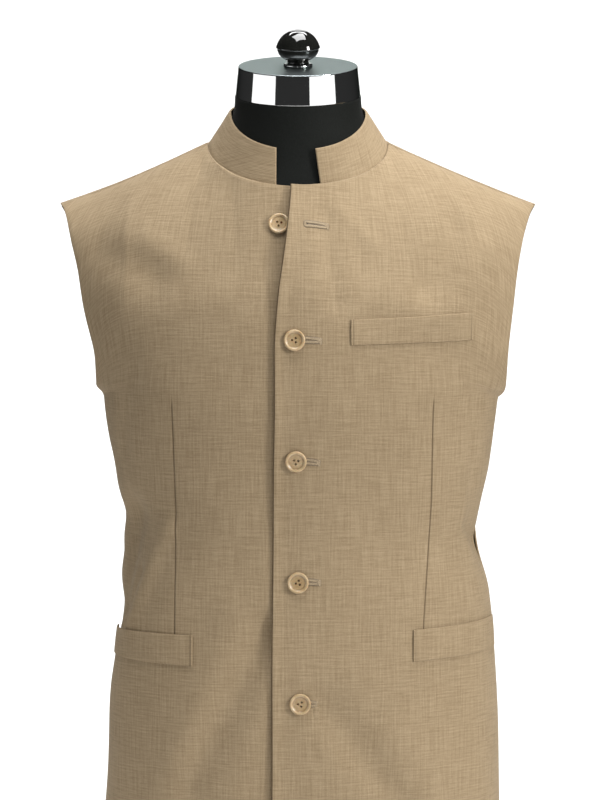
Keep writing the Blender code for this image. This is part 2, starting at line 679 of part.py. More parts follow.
def form_rings():
    """Closed rings of the right half torso, from the form's foot to its shoulders, then round its neck."""
    front, front_neck = form_side("form")
    back, back_neck = form_side("back form")
    arm = []
    for part in np.linspace(0, 1, FORM_ARM_COLUMNS + 2)[1:-1]:
        column = front[:, -1] + (back[:, -1] - front[:, -1]) * part
        spread = np.linalg.norm(back[:, -1] - front[:, -1], axis=1)
        column[:, 0] += FORM_ARM_BULGE * 4 * part * (1 - part) * spread / spread.max()
        arm.append(column)
    torso = np.concatenate([front, np.stack(arm, axis=1), back[:, ::-1]], axis=1)
    foot = []
    for height, inset in FORM_FOOT[::-1]:
        ring = torso[0].copy()
        ring[:, :2] *= 1 - inset / NECK_SIDE[0]
        ring[:, 2] = height
        foot.append(ring)
    seam = np.concatenate([front[-1, :front_neck], back[-1, :back_neck][::-1][1:]])
    front_turn = np.linspace(0, math.pi / 2, front_neck)
    back_turn = np.linspace(math.pi / 2, math.pi, back_neck)[1:]
    turn = np.concatenate([front_turn, back_turn])
    half_sizes = np.array([NECK_HALF_WIDTH, -NECK_HALF_DEPTH, -SEAM_GAP])
    column = half_sizes * np.stack([np.sin(turn), np.cos(turn), np.ones_like(turn)], axis=1)
    column = column @ np.array(Matrix.Rotation(CAP_TILT, 3, "X")).T + CAP_CENTRE
    neck = []
    for rise in np.linspace(0, 1, NECK_RINGS + 1)[1:]:
        ring = seam + (column - seam) * rise
        ring[:, :2] = seam[:, :2] + (column[:, :2] - seam[:, :2]) * (1 - (1 - rise) ** NECK_FLARE)
        neck.append(ring)
    return np.concatenate([np.array(foot), torso]), np.array([seam] + neck)


def mirrored_ring(rings):
    """Whole rings from right halves that begin and end on the middle line."""
    return np.concatenate([rings, rings[:, -2:0:-1] * (-1, 1, 1)], axis=1)


def form():
    """The torso with its arm plates, neck and flat underside, as one closed body."""
    body = bmesh.new()
    for rings in form_rings():
        whole = mirrored_ring(rings)
        corners = [[body.verts.new(point) for point in ring] for ring in whole]
        for low, high in zip(corners, corners[1:]):
            for k in range(len(low)):
                n = (k + 1) % len(low)
                body.faces.new((low[k], low[n], high[n], high[k]))
        if len(corners) > NECK_RINGS + 1:
            body.faces.new(corners[0][::-1])
        else:
            body.faces.new(corners[-1])
    bmesh.ops.remove_doubles(body, verts=body.verts, dist=0.00005)
    bmesh.ops.recalc_face_normals(body, faces=body.faces)
    body.verts.index_update()
    points = [tuple(vertex.co) for vertex in body.verts]
    faces = [tuple(vertex.index for vertex in face.verts) for face in body.faces]
    body.free()
    add_mesh("form_torso", points, faces, "form_cloth")


def main():
    clear_scene()
    cloth_panel("front_left", "over", False)
    cloth_panel("front_right", "under", True)
    cloth_panel("back_left", "back left", False)
    cloth_panel("back_right", "back right", True)
    collar()
    chest_welt()
    hip_welt("hip_welt_left", "over", HIP_WELT_OVER, False)
    hip_welt("hip_welt_right", "under", HIP_WELT_UNDER, True)
    buttons()
    form()
    turned("neck_cap", CAP_OUTLINE, CAP_SIDES, "chrome", CAP_CENTRE, CAP_TILT)
    turned("knob_ring", RING_OUTLINE, KNOB_SIDES, "chrome", CAP_CENTRE, CAP_TILT)
    turned("knob", KNOB_OUTLINE, KNOB_SIDES, "knob", CAP_CENTRE, CAP_TILT)
    turned("post", POST_OUTLINE, POST_SIDES, "chrome")
    turned("base", BASE_OUTLINE, BASE_SIDES, "chrome")


main()
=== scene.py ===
# %% [markdown]
# # A band-collar jacket on a dress form
#
# This lesson dresses a plain CAD model. The model already stands in the scene when the frame is
# loaded: four body panels, a collar, three welts, five buttons, and the form with its cap, knob,
# post and base. Each cloth panel is drawn again here as a thin shell on the same surface, with its
# rounded edges, darts, creases and weave.

# %% Load the frame and keep its size
import math

import bmesh
import bpy
import numpy as np
from mathutils import Matrix


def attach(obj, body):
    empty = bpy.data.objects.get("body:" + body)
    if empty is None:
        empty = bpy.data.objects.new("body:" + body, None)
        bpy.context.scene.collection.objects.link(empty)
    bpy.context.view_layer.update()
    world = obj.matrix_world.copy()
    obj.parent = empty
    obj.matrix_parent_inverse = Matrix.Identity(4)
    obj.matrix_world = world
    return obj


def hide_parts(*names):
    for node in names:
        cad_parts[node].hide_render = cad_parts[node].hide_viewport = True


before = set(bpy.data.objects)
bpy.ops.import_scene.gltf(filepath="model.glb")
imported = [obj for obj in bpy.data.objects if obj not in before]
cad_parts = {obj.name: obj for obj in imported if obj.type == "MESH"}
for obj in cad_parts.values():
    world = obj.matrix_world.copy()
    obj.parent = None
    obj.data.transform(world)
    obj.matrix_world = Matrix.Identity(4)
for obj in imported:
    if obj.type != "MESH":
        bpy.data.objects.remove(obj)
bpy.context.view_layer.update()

# %% [markdown]
# ## The garment's surface
#
# A tailor's block is a few measures round the body and the lines between them. Here each level of
# the body, from hem to armhole, is one arc from the centre line to the side. Above the armhole, the
# levels rise to one top line: the neckline, then the shoulder seam. A smooth curve runs up through
# the levels. So a point of the cloth is a function of two parameters: its share of the way round,
# and its level. The sizes are those of the solids, so the two agree.

# %% Sizes of the block, in metres
WALL = 0.0020
SEAM_GAP = 0.0003
NECK_FRONT = (0.0, -0.077, 0.796)
NECK_SIDE = (0.0865, -0.003, 0.833)
NECK_BACK = (0.0, 0.064, 0.841)
SHOULDER_TIP = (0.2293, 0.004, 0.774)
SHOULDER_SAG = 0.002
FRONT_COLUMNS = ("centre", "edge", "depth", "side_x", "side_y", "sweep", "full", "over", "under")
FRONT_LEVELS = {
    "hem": (0.175, 0.175, -0.121, 0.1945, 0.006, 90, 2.35, -0.0255, -0.0200),
    "seat": (0.245, 0.245, -0.123, 0.1936, 0.006, 90, 2.35, -0.0249, -0.0200),
    "hip": (0.325, 0.325, -0.123, 0.1903, 0.006, 90, 2.35, -0.0250, -0.0200),
    "pocket": (0.395, 0.395, -0.119, 0.1845, 0.006, 90, 2.30, -0.0245, -0.0200),
    "waist": (0.456, 0.456, -0.116, 0.1716, 0.006, 90, 2.25, -0.0238, -0.0200),
    "ribs": (0.530, 0.525, -0.122, 0.1842, 0.006, 90, 2.30, -0.0234, -0.0200),
    "chest": (0.592, 0.590, -0.128, 0.1925, 0.006, 90, 2.35, -0.0224, -0.0190),
    "underarm": (0.640, 0.600, -0.127, 0.1985, -0.031, 77, 2.30, -0.0226, -0.0165),
    "scoop": (0.690, 0.636, -0.120, 0.2005, -0.058, 68, 2.25, -0.0194, -0.0105),
}
BACK_LEVELS = {
    "hem": (0.175, 0.175, 0.120, 0.1945, 0.006, 90, 2.35),
    "seat": (0.245, 0.245, 0.126, 0.1936, 0.006, 90, 2.35),
    "hip": (0.325, 0.325, 0.122, 0.1903, 0.006, 90, 2.35),
    "pocket": (0.395, 0.395, 0.109, 0.1845, 0.006, 90, 2.30),
    "waist": (0.456, 0.456, 0.099, 0.1716, 0.006, 90, 2.25),
    "ribs": (0.530, 0.525, 0.106, 0.1842, 0.006, 90, 2.30),
    "chest": (0.592, 0.590, 0.119, 0.1925, 0.006, 90, 2.35),
    "underarm": (0.640, 0.600, 0.126, 0.1950, 0.043, 77, 2.35),
    "scoop": (0.690, 0.638, 0.128, 0.1945, 0.068, 67, 2.30),
}
# How far a level has gone to the top line: outwards at the centre and at the side, upwards, and
# inwards in depth at the centre and at the shoulder.
RISE = {
    "armhole": (0.37, 0.16, 0.30, 0.25, 0.06),
    "yoke": (0.70, 0.34, 0.58, 0.52, 0.22),
    "cap": (0.91, 0.60, 0.82, 0.79, 0.52),
    "ridge": (0.985, 0.84, 0.955, 0.945, 0.80),
    "seam": (1.0, 1.0, 1.0, 1.0, 1.0),
}
RISE_SHOULDER_SHARES = (0.25, 0.75)
NECK_SHARE = {"front": 0.50, "back": 0.42}
TOP_START = {"over": -0.0069, "under": 0.0020}
SIDE_SEAM_TOP = 6
ARMHOLE_TURN = (0.75, 1.0)
ARMHOLE_START = (1.0, 1.0, 0.6)
ARMHOLE_LEVEL = 8
TOP_LEVEL = len(FRONT_LEVELS) + len(RISE) - 1.0
print("levels from hem to shoulder seam:", int(TOP_LEVEL) + 1)


# %% One level, the top line, and the curve through them all
def smooth_step(low, high, value):
    """0 below low, 1 above high, and 3t^2 - 2t^3 between them."""
    t = np.clip((value - low) / (high - low), 0, 1)
    return t * t * (3 - 2 * t)


def roundness(turn, full):
    """A superellipse's y for its x = sin(turn): (1 - sin^full)^(1/full)."""
    return (1 - np.abs(np.sin(turn)) ** full) ** (1 / full)


def level_curve(row, start_x, share):
    """x = half width times the sine of the turn; y goes from the centre's depth to the side's as the
    superellipse falls; z goes from the centre's height to the edge's with x squared."""
    last = math.radians(row["sweep"])
    whole = row["side_x"] / math.sin(last)
    first = math.asin(start_x / whole)
    turn = first + (last - first) * share
    gone = (1 - roundness(turn, row["full"])) / (1 - roundness(last, row["full"]))
    x = whole * np.sin(turn)
    y = row["depth"] + (row["side_y"] - row["depth"]) * gone
    z = row["centre"] + (row["edge"] - row["centre"]) * np.clip(x / row["side_x"], 0, 1) ** 2
    return np.stack([x, y, z], axis=-1)


def top_line(neck_end, start_x, neck_share, share):
    """A quarter ellipse for the neckline, then a straight shoulder seam that sags by a sine."""
    side, tip = np.array(NECK_SIDE), np.array(SHOULDER_TIP)
    first = math.asin(start_x / side[0])
    turn = first + (math.pi / 2 - first) * np.clip(share / neck_share, 0, 1)
    neck = side + (np.array(neck_end) - side) * np.cos(turn)[..., None]
    neck[..., 0] = side[0] * np.sin(turn)
    along = np.clip((share - neck_share) / (1 - neck_share), 0, 1)[..., None]
    shoulder = side + (tip - side) * along
    shoulder[..., 2] -= SHOULDER_SAG * np.sin(math.pi * along[..., 0])
    return np.where((share <= neck_share)[..., None], neck, shoulder)


def key_levels(kind, share):
    """All the levels at every share of a grid: an array of (levels, rows, columns, 3)."""
    back = kind.startswith("back")
    levels = BACK_LEVELS if back else FRONT_LEVELS
    keys = []
    for level in levels.values():
        row = dict(zip(FRONT_COLUMNS, level))
        keys.append(level_curve(row, row.get(kind, 0.0), share))
    base = keys[-1]
    neck_share = NECK_SHARE["back" if back else "front"]
    top = top_line(NECK_BACK if back else NECK_FRONT, TOP_START.get(kind, 0.0), neck_share, share)
    shoulder = np.clip((share - RISE_SHOULDER_SHARES[0]) / np.diff(RISE_SHOULDER_SHARES), 0, 1)
    for out_centre, out, up, deep_centre, deep_shoulder in RISE.values():
        wide = out_centre + (out - out_centre) * shoulder
        deep = deep_centre + (deep_shoulder - deep_centre) * shoulder
        part = np.stack([wide, deep, np.full_like(share, up)], axis=-1)
        keys.append(base + (top - base) * part)
    return np.array(keys)


def block(kind, share, level):
    """Points of the cloth's inner face. share is a grid of (rows, columns), level has one value a row or
    a point. Between two levels runs a cubic with the harmonic means of the steps beside them as slopes.
    Above the side seam the armhole sets out nearly level, so its foot is round."""
    keys = key_levels(kind, share)
    step = np.diff(keys, axis=0)
    same_way = step[:-1] * step[1:]
    slope = np.zeros_like(keys)
    slope[1:-1] = np.where(same_way > 0, 2 * same_way / np.where(same_way > 0, step[:-1] + step[1:], 1), 0)
    slope[0], slope[-1] = step[0], step[-1]
    upward = slope.copy()
    near_side = smooth_step(*ARMHOLE_TURN, share)[..., None]
    upward[SIDE_SEAM_TOP] += (step[SIDE_SEAM_TOP] * ARMHOLE_START - slope[SIDE_SEAM_TOP]) * near_side
    level = np.broadcast_to(level[:, None] if level.ndim == 1 else level, share.shape)
    k = np.clip(np.floor(level).astype(int), 0, len(keys) - 2)
    t = (level - k)[..., None]
    low, high, low_slope, high_slope = (
        np.take_along_axis(values, (k + up)[None, ..., None], axis=0)[0]
        for values, up in ((keys, 0), (keys, 1), (upward, 0), (slope, 1))
    )
    points = (1 + 2 * t) * (1 - t) ** 2 * low + t**2 * (3 - 2 * t) * high
    return points + t * (1 - t) ** 2 * low_slope + t**2 * (t - 1) * high_slope


test = block("over", np.linspace([0.0, 0.0], [1.0, 1.0], 2).T, np.array([0.0, TOP_LEVEL]))
print("corners of the upper front:", np.round(test, 3).tolist())

# %% [markdown]
# ## From a surface to a cloth shell
#
# Real cloth has two faces and a folded edge. A shell is made of two grids, the inner and the outer
# face, joined all round. Near an edge both faces run together along a quarter circle, so that every
# edge is soft and each seam shows as a fine groove. The grid is dense near its edges and along the
# dart, and coarser between, because detail is only needed there.

# %% Helpers for grids
EDGE_ROUND = 0.0011
CLOSEST_LINES = 0.05
DENSE = np.array([0.00015, 0.0004, 0.0008, 0.0012, 0.0018, 0.0028, 0.0045])


def dense_line(count, length, near=(), ends=True):
    """count even steps from 0 to 1 with extra ones close to both ends and to each value in near."""
    parts = [np.linspace(0, 1, count)]
    close = DENSE / length
    if ends:
        parts += [close, 1 - close]
    for value in near:
        parts += [[value], value + close, value - close]
    line = np.unique(np.clip(np.concatenate(parts), 0, 1))
    keep = np.concatenate([[True], np.diff(line) > CLOSEST_LINES * DENSE[0] / length])
    return line[keep]


def grid_quads(rows, columns, flip=False):
    """Corner numbers of every face of a grid of points."""
    index = np.arange(rows * columns).reshape(rows, columns)
    quads = np.stack([index[:-1, :-1], index[:-1, 1:], index[1:, 1:], index[1:, :-1]], axis=-1)
    quads = quads.reshape(-1, 4)
    return quads[:, ::-1] if flip else quads


def paint(mesh, name, values):
    """Gives every point of a mesh a number that a finish can read."""
    mesh.attributes.new(name, "FLOAT", "POINT").data.foreach_set("value", values.ravel())


def hand_over(made, replaced=None):
    """Hangs a piece on the root body and hides the solid that it stands for."""
    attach(made, "root")
    if replaced:
        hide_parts(replaced)
    return made


def put_mesh(name, points, quads, finish, uv=None, shade=None):
    """Puts points and faces into a new smooth mesh; uv has one pair for each point, in metres, and shade
    one number for painted shade, which is 1 in the bottom of a stitched groove."""
    mesh = bpy.data.meshes.new(name)
    mesh.from_pydata(points.tolist(), [], quads if isinstance(quads, list) else quads.tolist())
    if uv is not None:
        corners = np.empty(len(mesh.loops), dtype=np.int32)
        mesh.loops.foreach_get("vertex_index", corners)
        mesh.uv_layers.new(name="cloth").data.foreach_set("uv", uv[corners].ravel())
    if shade is not None:
        paint(mesh, "groove_shade", shade)
    mesh.shade_smooth()
    mesh.materials.append(finish)
    obj = bpy.data.objects.new(name, mesh)
    bpy.context.scene.collection.objects.link(obj)
    return obj


def rim_loop(rows, columns):
    """Numbers of a grid's border points, once round."""
    index = np.arange(rows * columns).reshape(rows, columns)
    return np.concatenate([index[0, :-1], index[:-1, -1], index[-1, :0:-1], index[:0:-1, 0]])


def put_shell(name, inner, outer, finish, uv=None, mirrored=False, flip=False, shade=None):
    """A closed shell of two grids of points and the strip between their borders."""
    rows, columns = inner.shape[:2]
    points = np.concatenate([outer.reshape(-1, 3), inner.reshape(-1, 3)])
    rim = rim_loop(rows, columns)
    following = np.roll(rim, -1)
    lower = rows * columns
    strip = np.stack([rim + lower, following + lower, following, rim], axis=-1)
    quads = np.concatenate([grid_quads(rows, columns), grid_quads(rows, columns, True) + lower, strip])
    if mirrored:
        points = points * (-1, 1, 1)
    if mirrored != flip:
        quads = quads[:, ::-1]
    uv = None if uv is None else np.concatenate([uv.reshape(-1, 2)] * 2)
    shade = np.zeros(inner.shape[:2]) if shade is None else shade
    shade = np.concatenate([shade.ravel(), np.zeros(lower)])
    return put_mesh(name, points, quads, finish, uv, shade)


def grid_normals(grid, outward=1):
    """Unit normals: the cross product of the grid's two directions."""
    normal = np.cross(np.gradient(grid, axis=1), np.gradient(grid, axis=0)) * outward
    return normal / np.linalg.norm(normal, axis=2, keepdims=True)


def running(grid, axis):
    """Distance along the grid's lines, from the first point of each."""
    step = np.linalg.norm(np.diff(grid, axis=axis), axis=2)
    start = np.zeros_like(step[:, :1] if axis == 1 else step[:1])
    return np.concatenate([start, np.cumsum(step, axis=axis)], axis=axis)


def edge_distance(grid):
    """Distance of every point from the nearest border, measured along the grid's lines."""
    across, up = running(grid, 1), running(grid, 0)
    sides = np.minimum(across, across[:, -1:] - across)
    return np.minimum(sides, np.minimum(up, up[-1:] - up))


def rounded(distance, radius=EDGE_ROUND):
    """A quarter circle's height: 0 on the border, 1 from radius inwards."""
    t = np.clip(distance / radius, 0, 1)
    return np.sqrt(np.clip(1 - (1 - t) ** 2, 0, 1))


print("extra grid lines near an edge, in mm:", (DENSE * 1000).round(2).tolist())

# %% [markdown]
# ## Woven wool
#
# Up close the cloth is a plain weave of slightly uneven yarns: a thread here and there is thicker,
# lighter or darker, so short streaks run up and across and cross each other. A picture of cloth
# would repeat, and it would blur close by. Noise that is stretched along each thread direction does
# not. It reads the panel's own UV map, which is in metres, so the threads follow the cut.

# %% Node helpers and the wool
class Tree:
    """A node tree that is being built. Each method adds a node and gives back what comes out of it. An
    input is another node's output, which is linked, or a plain value, which is set."""

    def __init__(self, owner):
        owner.use_nodes = True
        self.owner, self.nodes, self.link = owner, owner.node_tree.nodes, owner.node_tree.links.new

    def feed(self, node, inputs):
        """Links or sets each named or numbered input; a colour gets its alpha of 1."""
        for name, value in inputs.items():
            socket = node.inputs[name]
            if isinstance(value, bpy.types.NodeSocket):
                self.link(value, socket)
            elif socket.type == "RGBA":
                socket.default_value = (*value, 1.0)
            else:
                socket.default_value = value

    def add(self, kind, output, inputs=None, **settings):
        """A node of one kind with its settings made and its inputs fed; gives back one output."""
        node = self.nodes.new("ShaderNode" + kind)
        for name, value in settings.items():
            setattr(node, name, value)
        self.feed(node, inputs or {})
        return node.outputs[output]

    def place(self):
        """The point of the piece in metres, on the piece's own axes."""
        return self.add("TexCoord", "Object")

    def painted(self, name):
        """The number that a mesh gives at each of its points."""
        return self.add("Attribute", "Fac", attribute_name=name)

    def split(self, vector):
        """A vector's x, y and z."""
        node = self.add("SeparateXYZ", "X", {"Vector": vector}).node
        return node.outputs["X"], node.outputs["Y"], node.outputs["Z"]

    def noise(self, coords, scale, detail=2.0, rough=0.5, stretch=(1, 1, 1)):
        """Noise on coordinates that are first stretched along each axis."""
        vector = self.add("Mapping", "Vector", {"Scale": stretch, "Vector": coords})
        inputs = {"Scale": scale, "Detail": detail, "Roughness": rough, "Vector": vector}
        return self.add("TexNoise", "Fac", inputs)

    def threads(self, coords, *stretch):
        """Noise that is stretched along the threads."""
        return self.noise(coords, 1.0, 1.0, 0.5, stretch)

    def math(self, kind, a, b=0.0):
        """One sum, product, power, root or sine."""
        return self.add("Math", 0, {0: a, 1: b}, operation=kind)

    def sum(self, a, b, times=1.0):
        """a + times * b."""
        return self.math("ADD", a, b if times == 1.0 else self.math("MULTIPLY", b, times))

    def range(self, value, low, high, to_low=0.0, to_high=1.0):
        """A straight line through (low, to_low) and (high, to_high), level beyond them."""
        inputs = {"Value": value, "From Min": low, "From Max": high, "To Min": to_low, "To Max": to_high}
        return self.add("MapRange", "Result", inputs)

    def mix(self, factor, a, b):
        """Colour a where the factor is 0, colour b where it is 1."""
        return self.add("Mix", 2, {"Factor": factor, 6: a, 7: b}, data_type="RGBA")

    def bump(self, height, distance, strength):
        """A normal that tilts as the height changes."""
        return self.add("Bump", "Normal", {"Distance": distance, "Strength": strength, "Height": height})

    def finish(self, inputs):
        """Feeds the shader and gives back the material."""
        self.feed(self.nodes["Principled BSDF"], inputs)
        return self.owner


def new_tree(name):
    """The node tree of a new material."""
    return Tree(bpy.data.materials.new(name))


THREADS_PER_METRE = 1500
WOOL_TONES = (1.25, 2.90)
WOOL_DARK = (0.218, 0.156, 0.088)
WOOL_MIDDLE = (0.324, 0.244, 0.149)
WOOL_LIGHT = (0.430, 0.334, 0.213)
# Colour of painted shade in stitched grooves, along the upper front's turned edge, and where thread dives
# into the cloth.
GROOVE_SHADE_COLOUR = (0.075, 0.048, 0.024)


def wool():
    """Streaks along both thread directions, fine threads under them, painted shade in stitched grooves and
    along the upper front's turned edge, and a soft matt sheen."""
    tree = new_tree("wool")
    place = tree.add("UVMap", "UV", uv_map="cloth")
    streaks = tree.sum(tree.threads(place, 34, 620, 1), tree.threads(place, 600, 28, 1))
    streaks = tree.sum(streaks, tree.threads(place, 120, 780, 1), 0.5)
    fine = tree.sum(tree.threads(place, 260, 1900, 1), tree.threads(place, 1900, 260, 1))
    mixed = tree.sum(streaks, fine, 0.45)
    mixed = tree.sum(mixed, tree.noise(place, 9.0), 0.25)
    tone = tree.range(mixed, *WOOL_TONES)
    dark = tree.mix(tree.range(tone, 0.0, 0.5), WOOL_DARK, WOOL_MIDDLE)
    colour = tree.mix(tree.range(tone, 0.5, 1.0), dark, WOOL_LIGHT)
    u, v, _ = tree.split(place)
    turns = (tree.math("MULTIPLY", axis, THREADS_PER_METRE * 2 * math.pi) for axis in (u, v))
    weave = tree.math("MULTIPLY", *(tree.math("SINE", turn) for turn in turns))
    height = tree.sum(mixed, weave, 0.25)
    # The painted number mixes in painted shade along grooves and the upper front's turned edge.
    return tree.finish({
        "Base Color": tree.mix(tree.painted("groove_shade"), colour, GROOVE_SHADE_COLOUR),
        "Roughness": 0.86,
        "Specular IOR Level": 0.25,
        "Sheen Weight": 0.10,
        "Sheen Roughness": 0.45,
        "Sheen Tint": (0.95, 0.86, 0.72),
        "Normal": tree.bump(height, 0.00022, 0.5),
    })


WOOL = wool()
print("nodes in the wool:", len(WOOL.node_tree.nodes))

# %% [markdown]
# ## Creases and the open lap
#
# Most of the jacket is smooth, because a form fills it. It creases where it is pulled: beside the
# waist, over the hips, below the shoulders, and where the top button is left open and the upper
# front swings away. Each crease is a soft trough or ridge along a short line in the cloth, and the
# bell curve of the distance from that line gives its height.

# %% Crease tables and how they act
LAP_X = (0.026, 0.080)
LIFT = 0.0062
LIFT_X = (-0.010, 0.062)
LIFT_Z = 0.738
LIFT_SPREAD_Z = 0.052
LIFT_EASE_Z = (0.770, 0.797)
LIFT_EASE = 0.55
EDGE_STAND = 0.0014
EDGE_STAND_WIDTH = 0.007
# Painted shade on the upper front's turned edge, whose underside lies in shade: full on the edge, gone by the
# second width.
EDGE_SHADE = 1.0
EDGE_SHADE_WIDTH = (0.0006, 0.0014)
# Girth and height of one end and of the other, width, and height of the bell.
CREASES = {
    "over": {
        "waist nip": (0.190, 0.468, 0.226, 0.446, 0.015, -0.0040),
        "nip ridge": (0.170, 0.500, 0.190, 0.440, 0.010, 0.0016),
        "nip crease": (0.184, 0.466, 0.228, 0.452, 0.006, -0.0018),
        "hem fall": (0.028, 0.300, 0.100, 0.205, 0.018, -0.0044),
        "hem swell": (0.070, 0.315, 0.140, 0.190, 0.024, 0.0022),
        "skirt fall": (0.150, 0.330, 0.170, 0.180, 0.016, -0.0016),
        "lap hollow": (0.026, 0.765, 0.034, 0.690, 0.011, -0.0026),
        "shoulder fall": (0.165, 0.752, 0.125, 0.700, 0.016, -0.0042),
        "shoulder swell": (0.186, 0.735, 0.155, 0.680, 0.013, 0.0018),
        "neck pull": (0.040, 0.770, 0.072, 0.742, 0.008, 0.0015),
        "side hollow": (0.175, 0.585, 0.186, 0.520, 0.013, -0.0016),
    },
    "under": {
        "waist trough": (0.176, 0.480, 0.212, 0.392, 0.019, -0.0092),
        "waist ridge": (0.130, 0.470, 0.176, 0.376, 0.010, 0.0038),
        "ridge foot": (0.170, 0.425, 0.192, 0.380, 0.010, -0.0060),
        "hem fall": (0.030, 0.372, 0.105, 0.225, 0.017, -0.0052),
        "hem swell": (0.062, 0.390, 0.120, 0.250, 0.018, 0.0022),
        "front swell": (0.024, 0.330, 0.060, 0.220, 0.015, 0.0016),
        "shoulder fall": (0.205, 0.735, 0.145, 0.712, 0.019, -0.0036),
        "shoulder swell": (0.150, 0.742, 0.110, 0.722, 0.012, 0.0018),
        "neck pull": (0.078, 0.812, 0.105, 0.785, 0.009, 0.0014),
        "side hollow": (0.170, 0.610, 0.180, 0.545, 0.013, -0.0018),
    },
    "back left": {
        "small of back": (0.050, 0.440, 0.150, 0.455, 0.016, -0.0030),
        "blade fall": (0.120, 0.730, 0.168, 0.668, 0.015, -0.0022),
        "side pull": (0.150, 0.500, 0.215, 0.470, 0.011, -0.0022),
        "skirt fall": (0.120, 0.330, 0.128, 0.180, 0.020, -0.0026),
        "skirt swell": (0.172, 0.330, 0.180, 0.178, 0.018, 0.0018),
    },
    "back right": {
        "small of back": (0.050, 0.440, 0.150, 0.455, 0.016, -0.0030),
        "blade fall": (0.132, 0.722, 0.176, 0.650, 0.013, -0.0019),
        "side pull": (0.140, 0.488, 0.212, 0.452, 0.012, -0.0026),
        "skirt fall": (0.098, 0.345, 0.110, 0.180, 0.018, -0.0022),
        "skirt swell": (0.150, 0.320, 0.166, 0.178, 0.020, 0.0020),
    },
}
# Waves a metre along the girth and up, in radians, then phase and height.
RIPPLES = {
    "long": (19.0, 11.0, 0.4, 0.00040),
    "slanted": (27.0, -23.0, 2.1, 0.00028),
    "short": (55.0, 31.0, 4.4, 0.00012),
    "steep": (43.0, -61.0, 1.2, 0.00010),
}
SIDE_PHASE = 1.7
PINCHED = ("under", "back right")
PINCH_GIRTH = 0.055
# Height of the middle, spread and depth.
PINCH = {
    "hem": (0.215, 0.080, -0.0030),
    "hip": (0.280, 0.130, -0.0095),
    "welt": (0.350, 0.034, -0.0068),
    "pocket mouth": (0.392, 0.034, -0.0120),
    "low waist": (0.436, 0.016, -0.0025),
    "waist": (0.477, 0.020, -0.0065),
    "high waist": (0.520, 0.030, -0.0072),
    "ribs": (0.565, 0.035, -0.0040),
    "underarm": (0.625, 0.042, -0.0090),
    "shoulder": (0.745, 0.024, 0.0045),
}


def pinch_heights(kind, to_seam, height):
    """The right side seam is drawn in: a bell round each height, fading away from the seam."""
    total = np.zeros_like(to_seam)
    if kind in PINCHED:
        for middle, spread, depth in PINCH.values():
            total += depth * np.exp(-(((height - middle) / spread) ** 2) - (to_seam / PINCH_GIRTH) ** 2)
    return total


def crease_heights(girth, height, creases):
    """Sum over the creases of depth * exp(-(distance from its line / width)^2)."""
    total = np.zeros_like(girth)
    for girth_a, z_a, girth_b, z_b, width, depth in creases.values():
        line = np.array([girth_b - girth_a, z_b - z_a])
        t = np.clip(((girth - girth_a) * line[0] + (height - z_a) * line[1]) / (line @ line), 0, 1)
        away = np.hypot(girth - girth_a - t * line[0], height - z_a - t * line[1])
        total += depth * np.exp(-((away / width) ** 2))
    return total


def ripple_heights(girth, height, side):
    """A few crossing sines: no cloth lies perfectly even."""
    total = np.zeros_like(girth)
    for along_girth, along_height, phase, size in RIPPLES.values():
        total += size * np.sin(along_girth * girth + along_height * height + phase + SIDE_PHASE * side)
    return total


def lap_heights(points):
    """The upper front lies one wall higher over the lower one, and swings off near its open button."""
    x, z = points[..., 0], points[..., 2]
    lap = 1 - smooth_step(*LAP_X, x)
    near_edge = 1 - smooth_step(*LIFT_X, x)
    gape = np.exp(-(((z - LIFT_Z) / LIFT_SPREAD_Z) ** 2))
    neck_ease = 1 - LIFT_EASE * smooth_step(*LIFT_EASE_Z, z)
    return (WALL + SEAM_GAP) * lap + LIFT * near_edge * gape * neck_ease


print("creases:", {kind: len(rows) for kind, rows in CREASES.items()})

# %% [markdown]
# ## Fronts and backs
#
# Each body panel is cut in one piece from hem to shoulder. On the fronts a long dart takes in the
# waist: a line of stitches that shows as a fine groove. The grid's columns are bent so that one of
# them follows the dart, because a groove half a millimetre wide needs lines exactly there.

# %% Panel maker
DART_SHARE = 0.50
# Height and x of three points of each dart.
DARTS = {
    "over": ((0.376, 0.1186), (0.497, 0.1258), (0.599, 0.1280)),
    "under": ((0.374, 0.1173), (0.484, 0.1155), (0.599, 0.1195)),
}
DART_SEARCH = (0.3, 0.75, 90)
DART_BEND_LEVELS = (7.0, 10.5)
DART_FOOT = (0.340, 0.352)
DART_HEAD = (0.585, 0.600)
DART_GROOVE = 0.00075
DART_WIDTH = 0.00065
# Strength of painted shade in the bottom of the dart's groove.
DART_SHADE = 0.75
PRESSED_PLACE = 0.004
PRESSED_WIDTH = 0.0022
PRESSED_HEIGHT = 0.00022
SEAM_TRIM = SEAM_GAP / 2
TRIM_FADE = 0.004
PANEL_COLUMNS = {"front": 112, "back": 84}
PANEL_ROWS = (170, 60)
ROW_LENGTH = (0.07, 0.011)
PANEL_LENGTH = {"front": 0.29, "back": 0.24}


def shoulder_normal():
    """Square to the shoulder seam, with no lean to the front or the back."""
    run = np.array(SHOULDER_TIP) - np.array(NECK_SIDE)
    normal = np.array([-run[2], 0.0, run[0]])
    return normal / np.linalg.norm(normal)


def trimmed(grid, centre_seam):
    """Draws seam edges back by half of the gap between two panels. The pull is full on the edge and fades
    to nothing a few millimetres inside, so that no grid line crosses another."""
    grid = grid.copy()
    for turned in (grid[:, ::-1], grid[::-1].swapaxes(0, 1), grid if centre_seam else None):
        if turned is None:
            continue
        away = running(turned, 1)
        inside = np.argmax(away > TRIM_FADE, axis=1)
        pull = turned[np.arange(len(turned)), inside] - turned[:, 0]
        pull *= SEAM_TRIM / np.linalg.norm(pull, axis=1, keepdims=True)
        turned += pull[:, None] * np.clip(1 - away / TRIM_FADE, 0, 1)[..., None]
    return grid


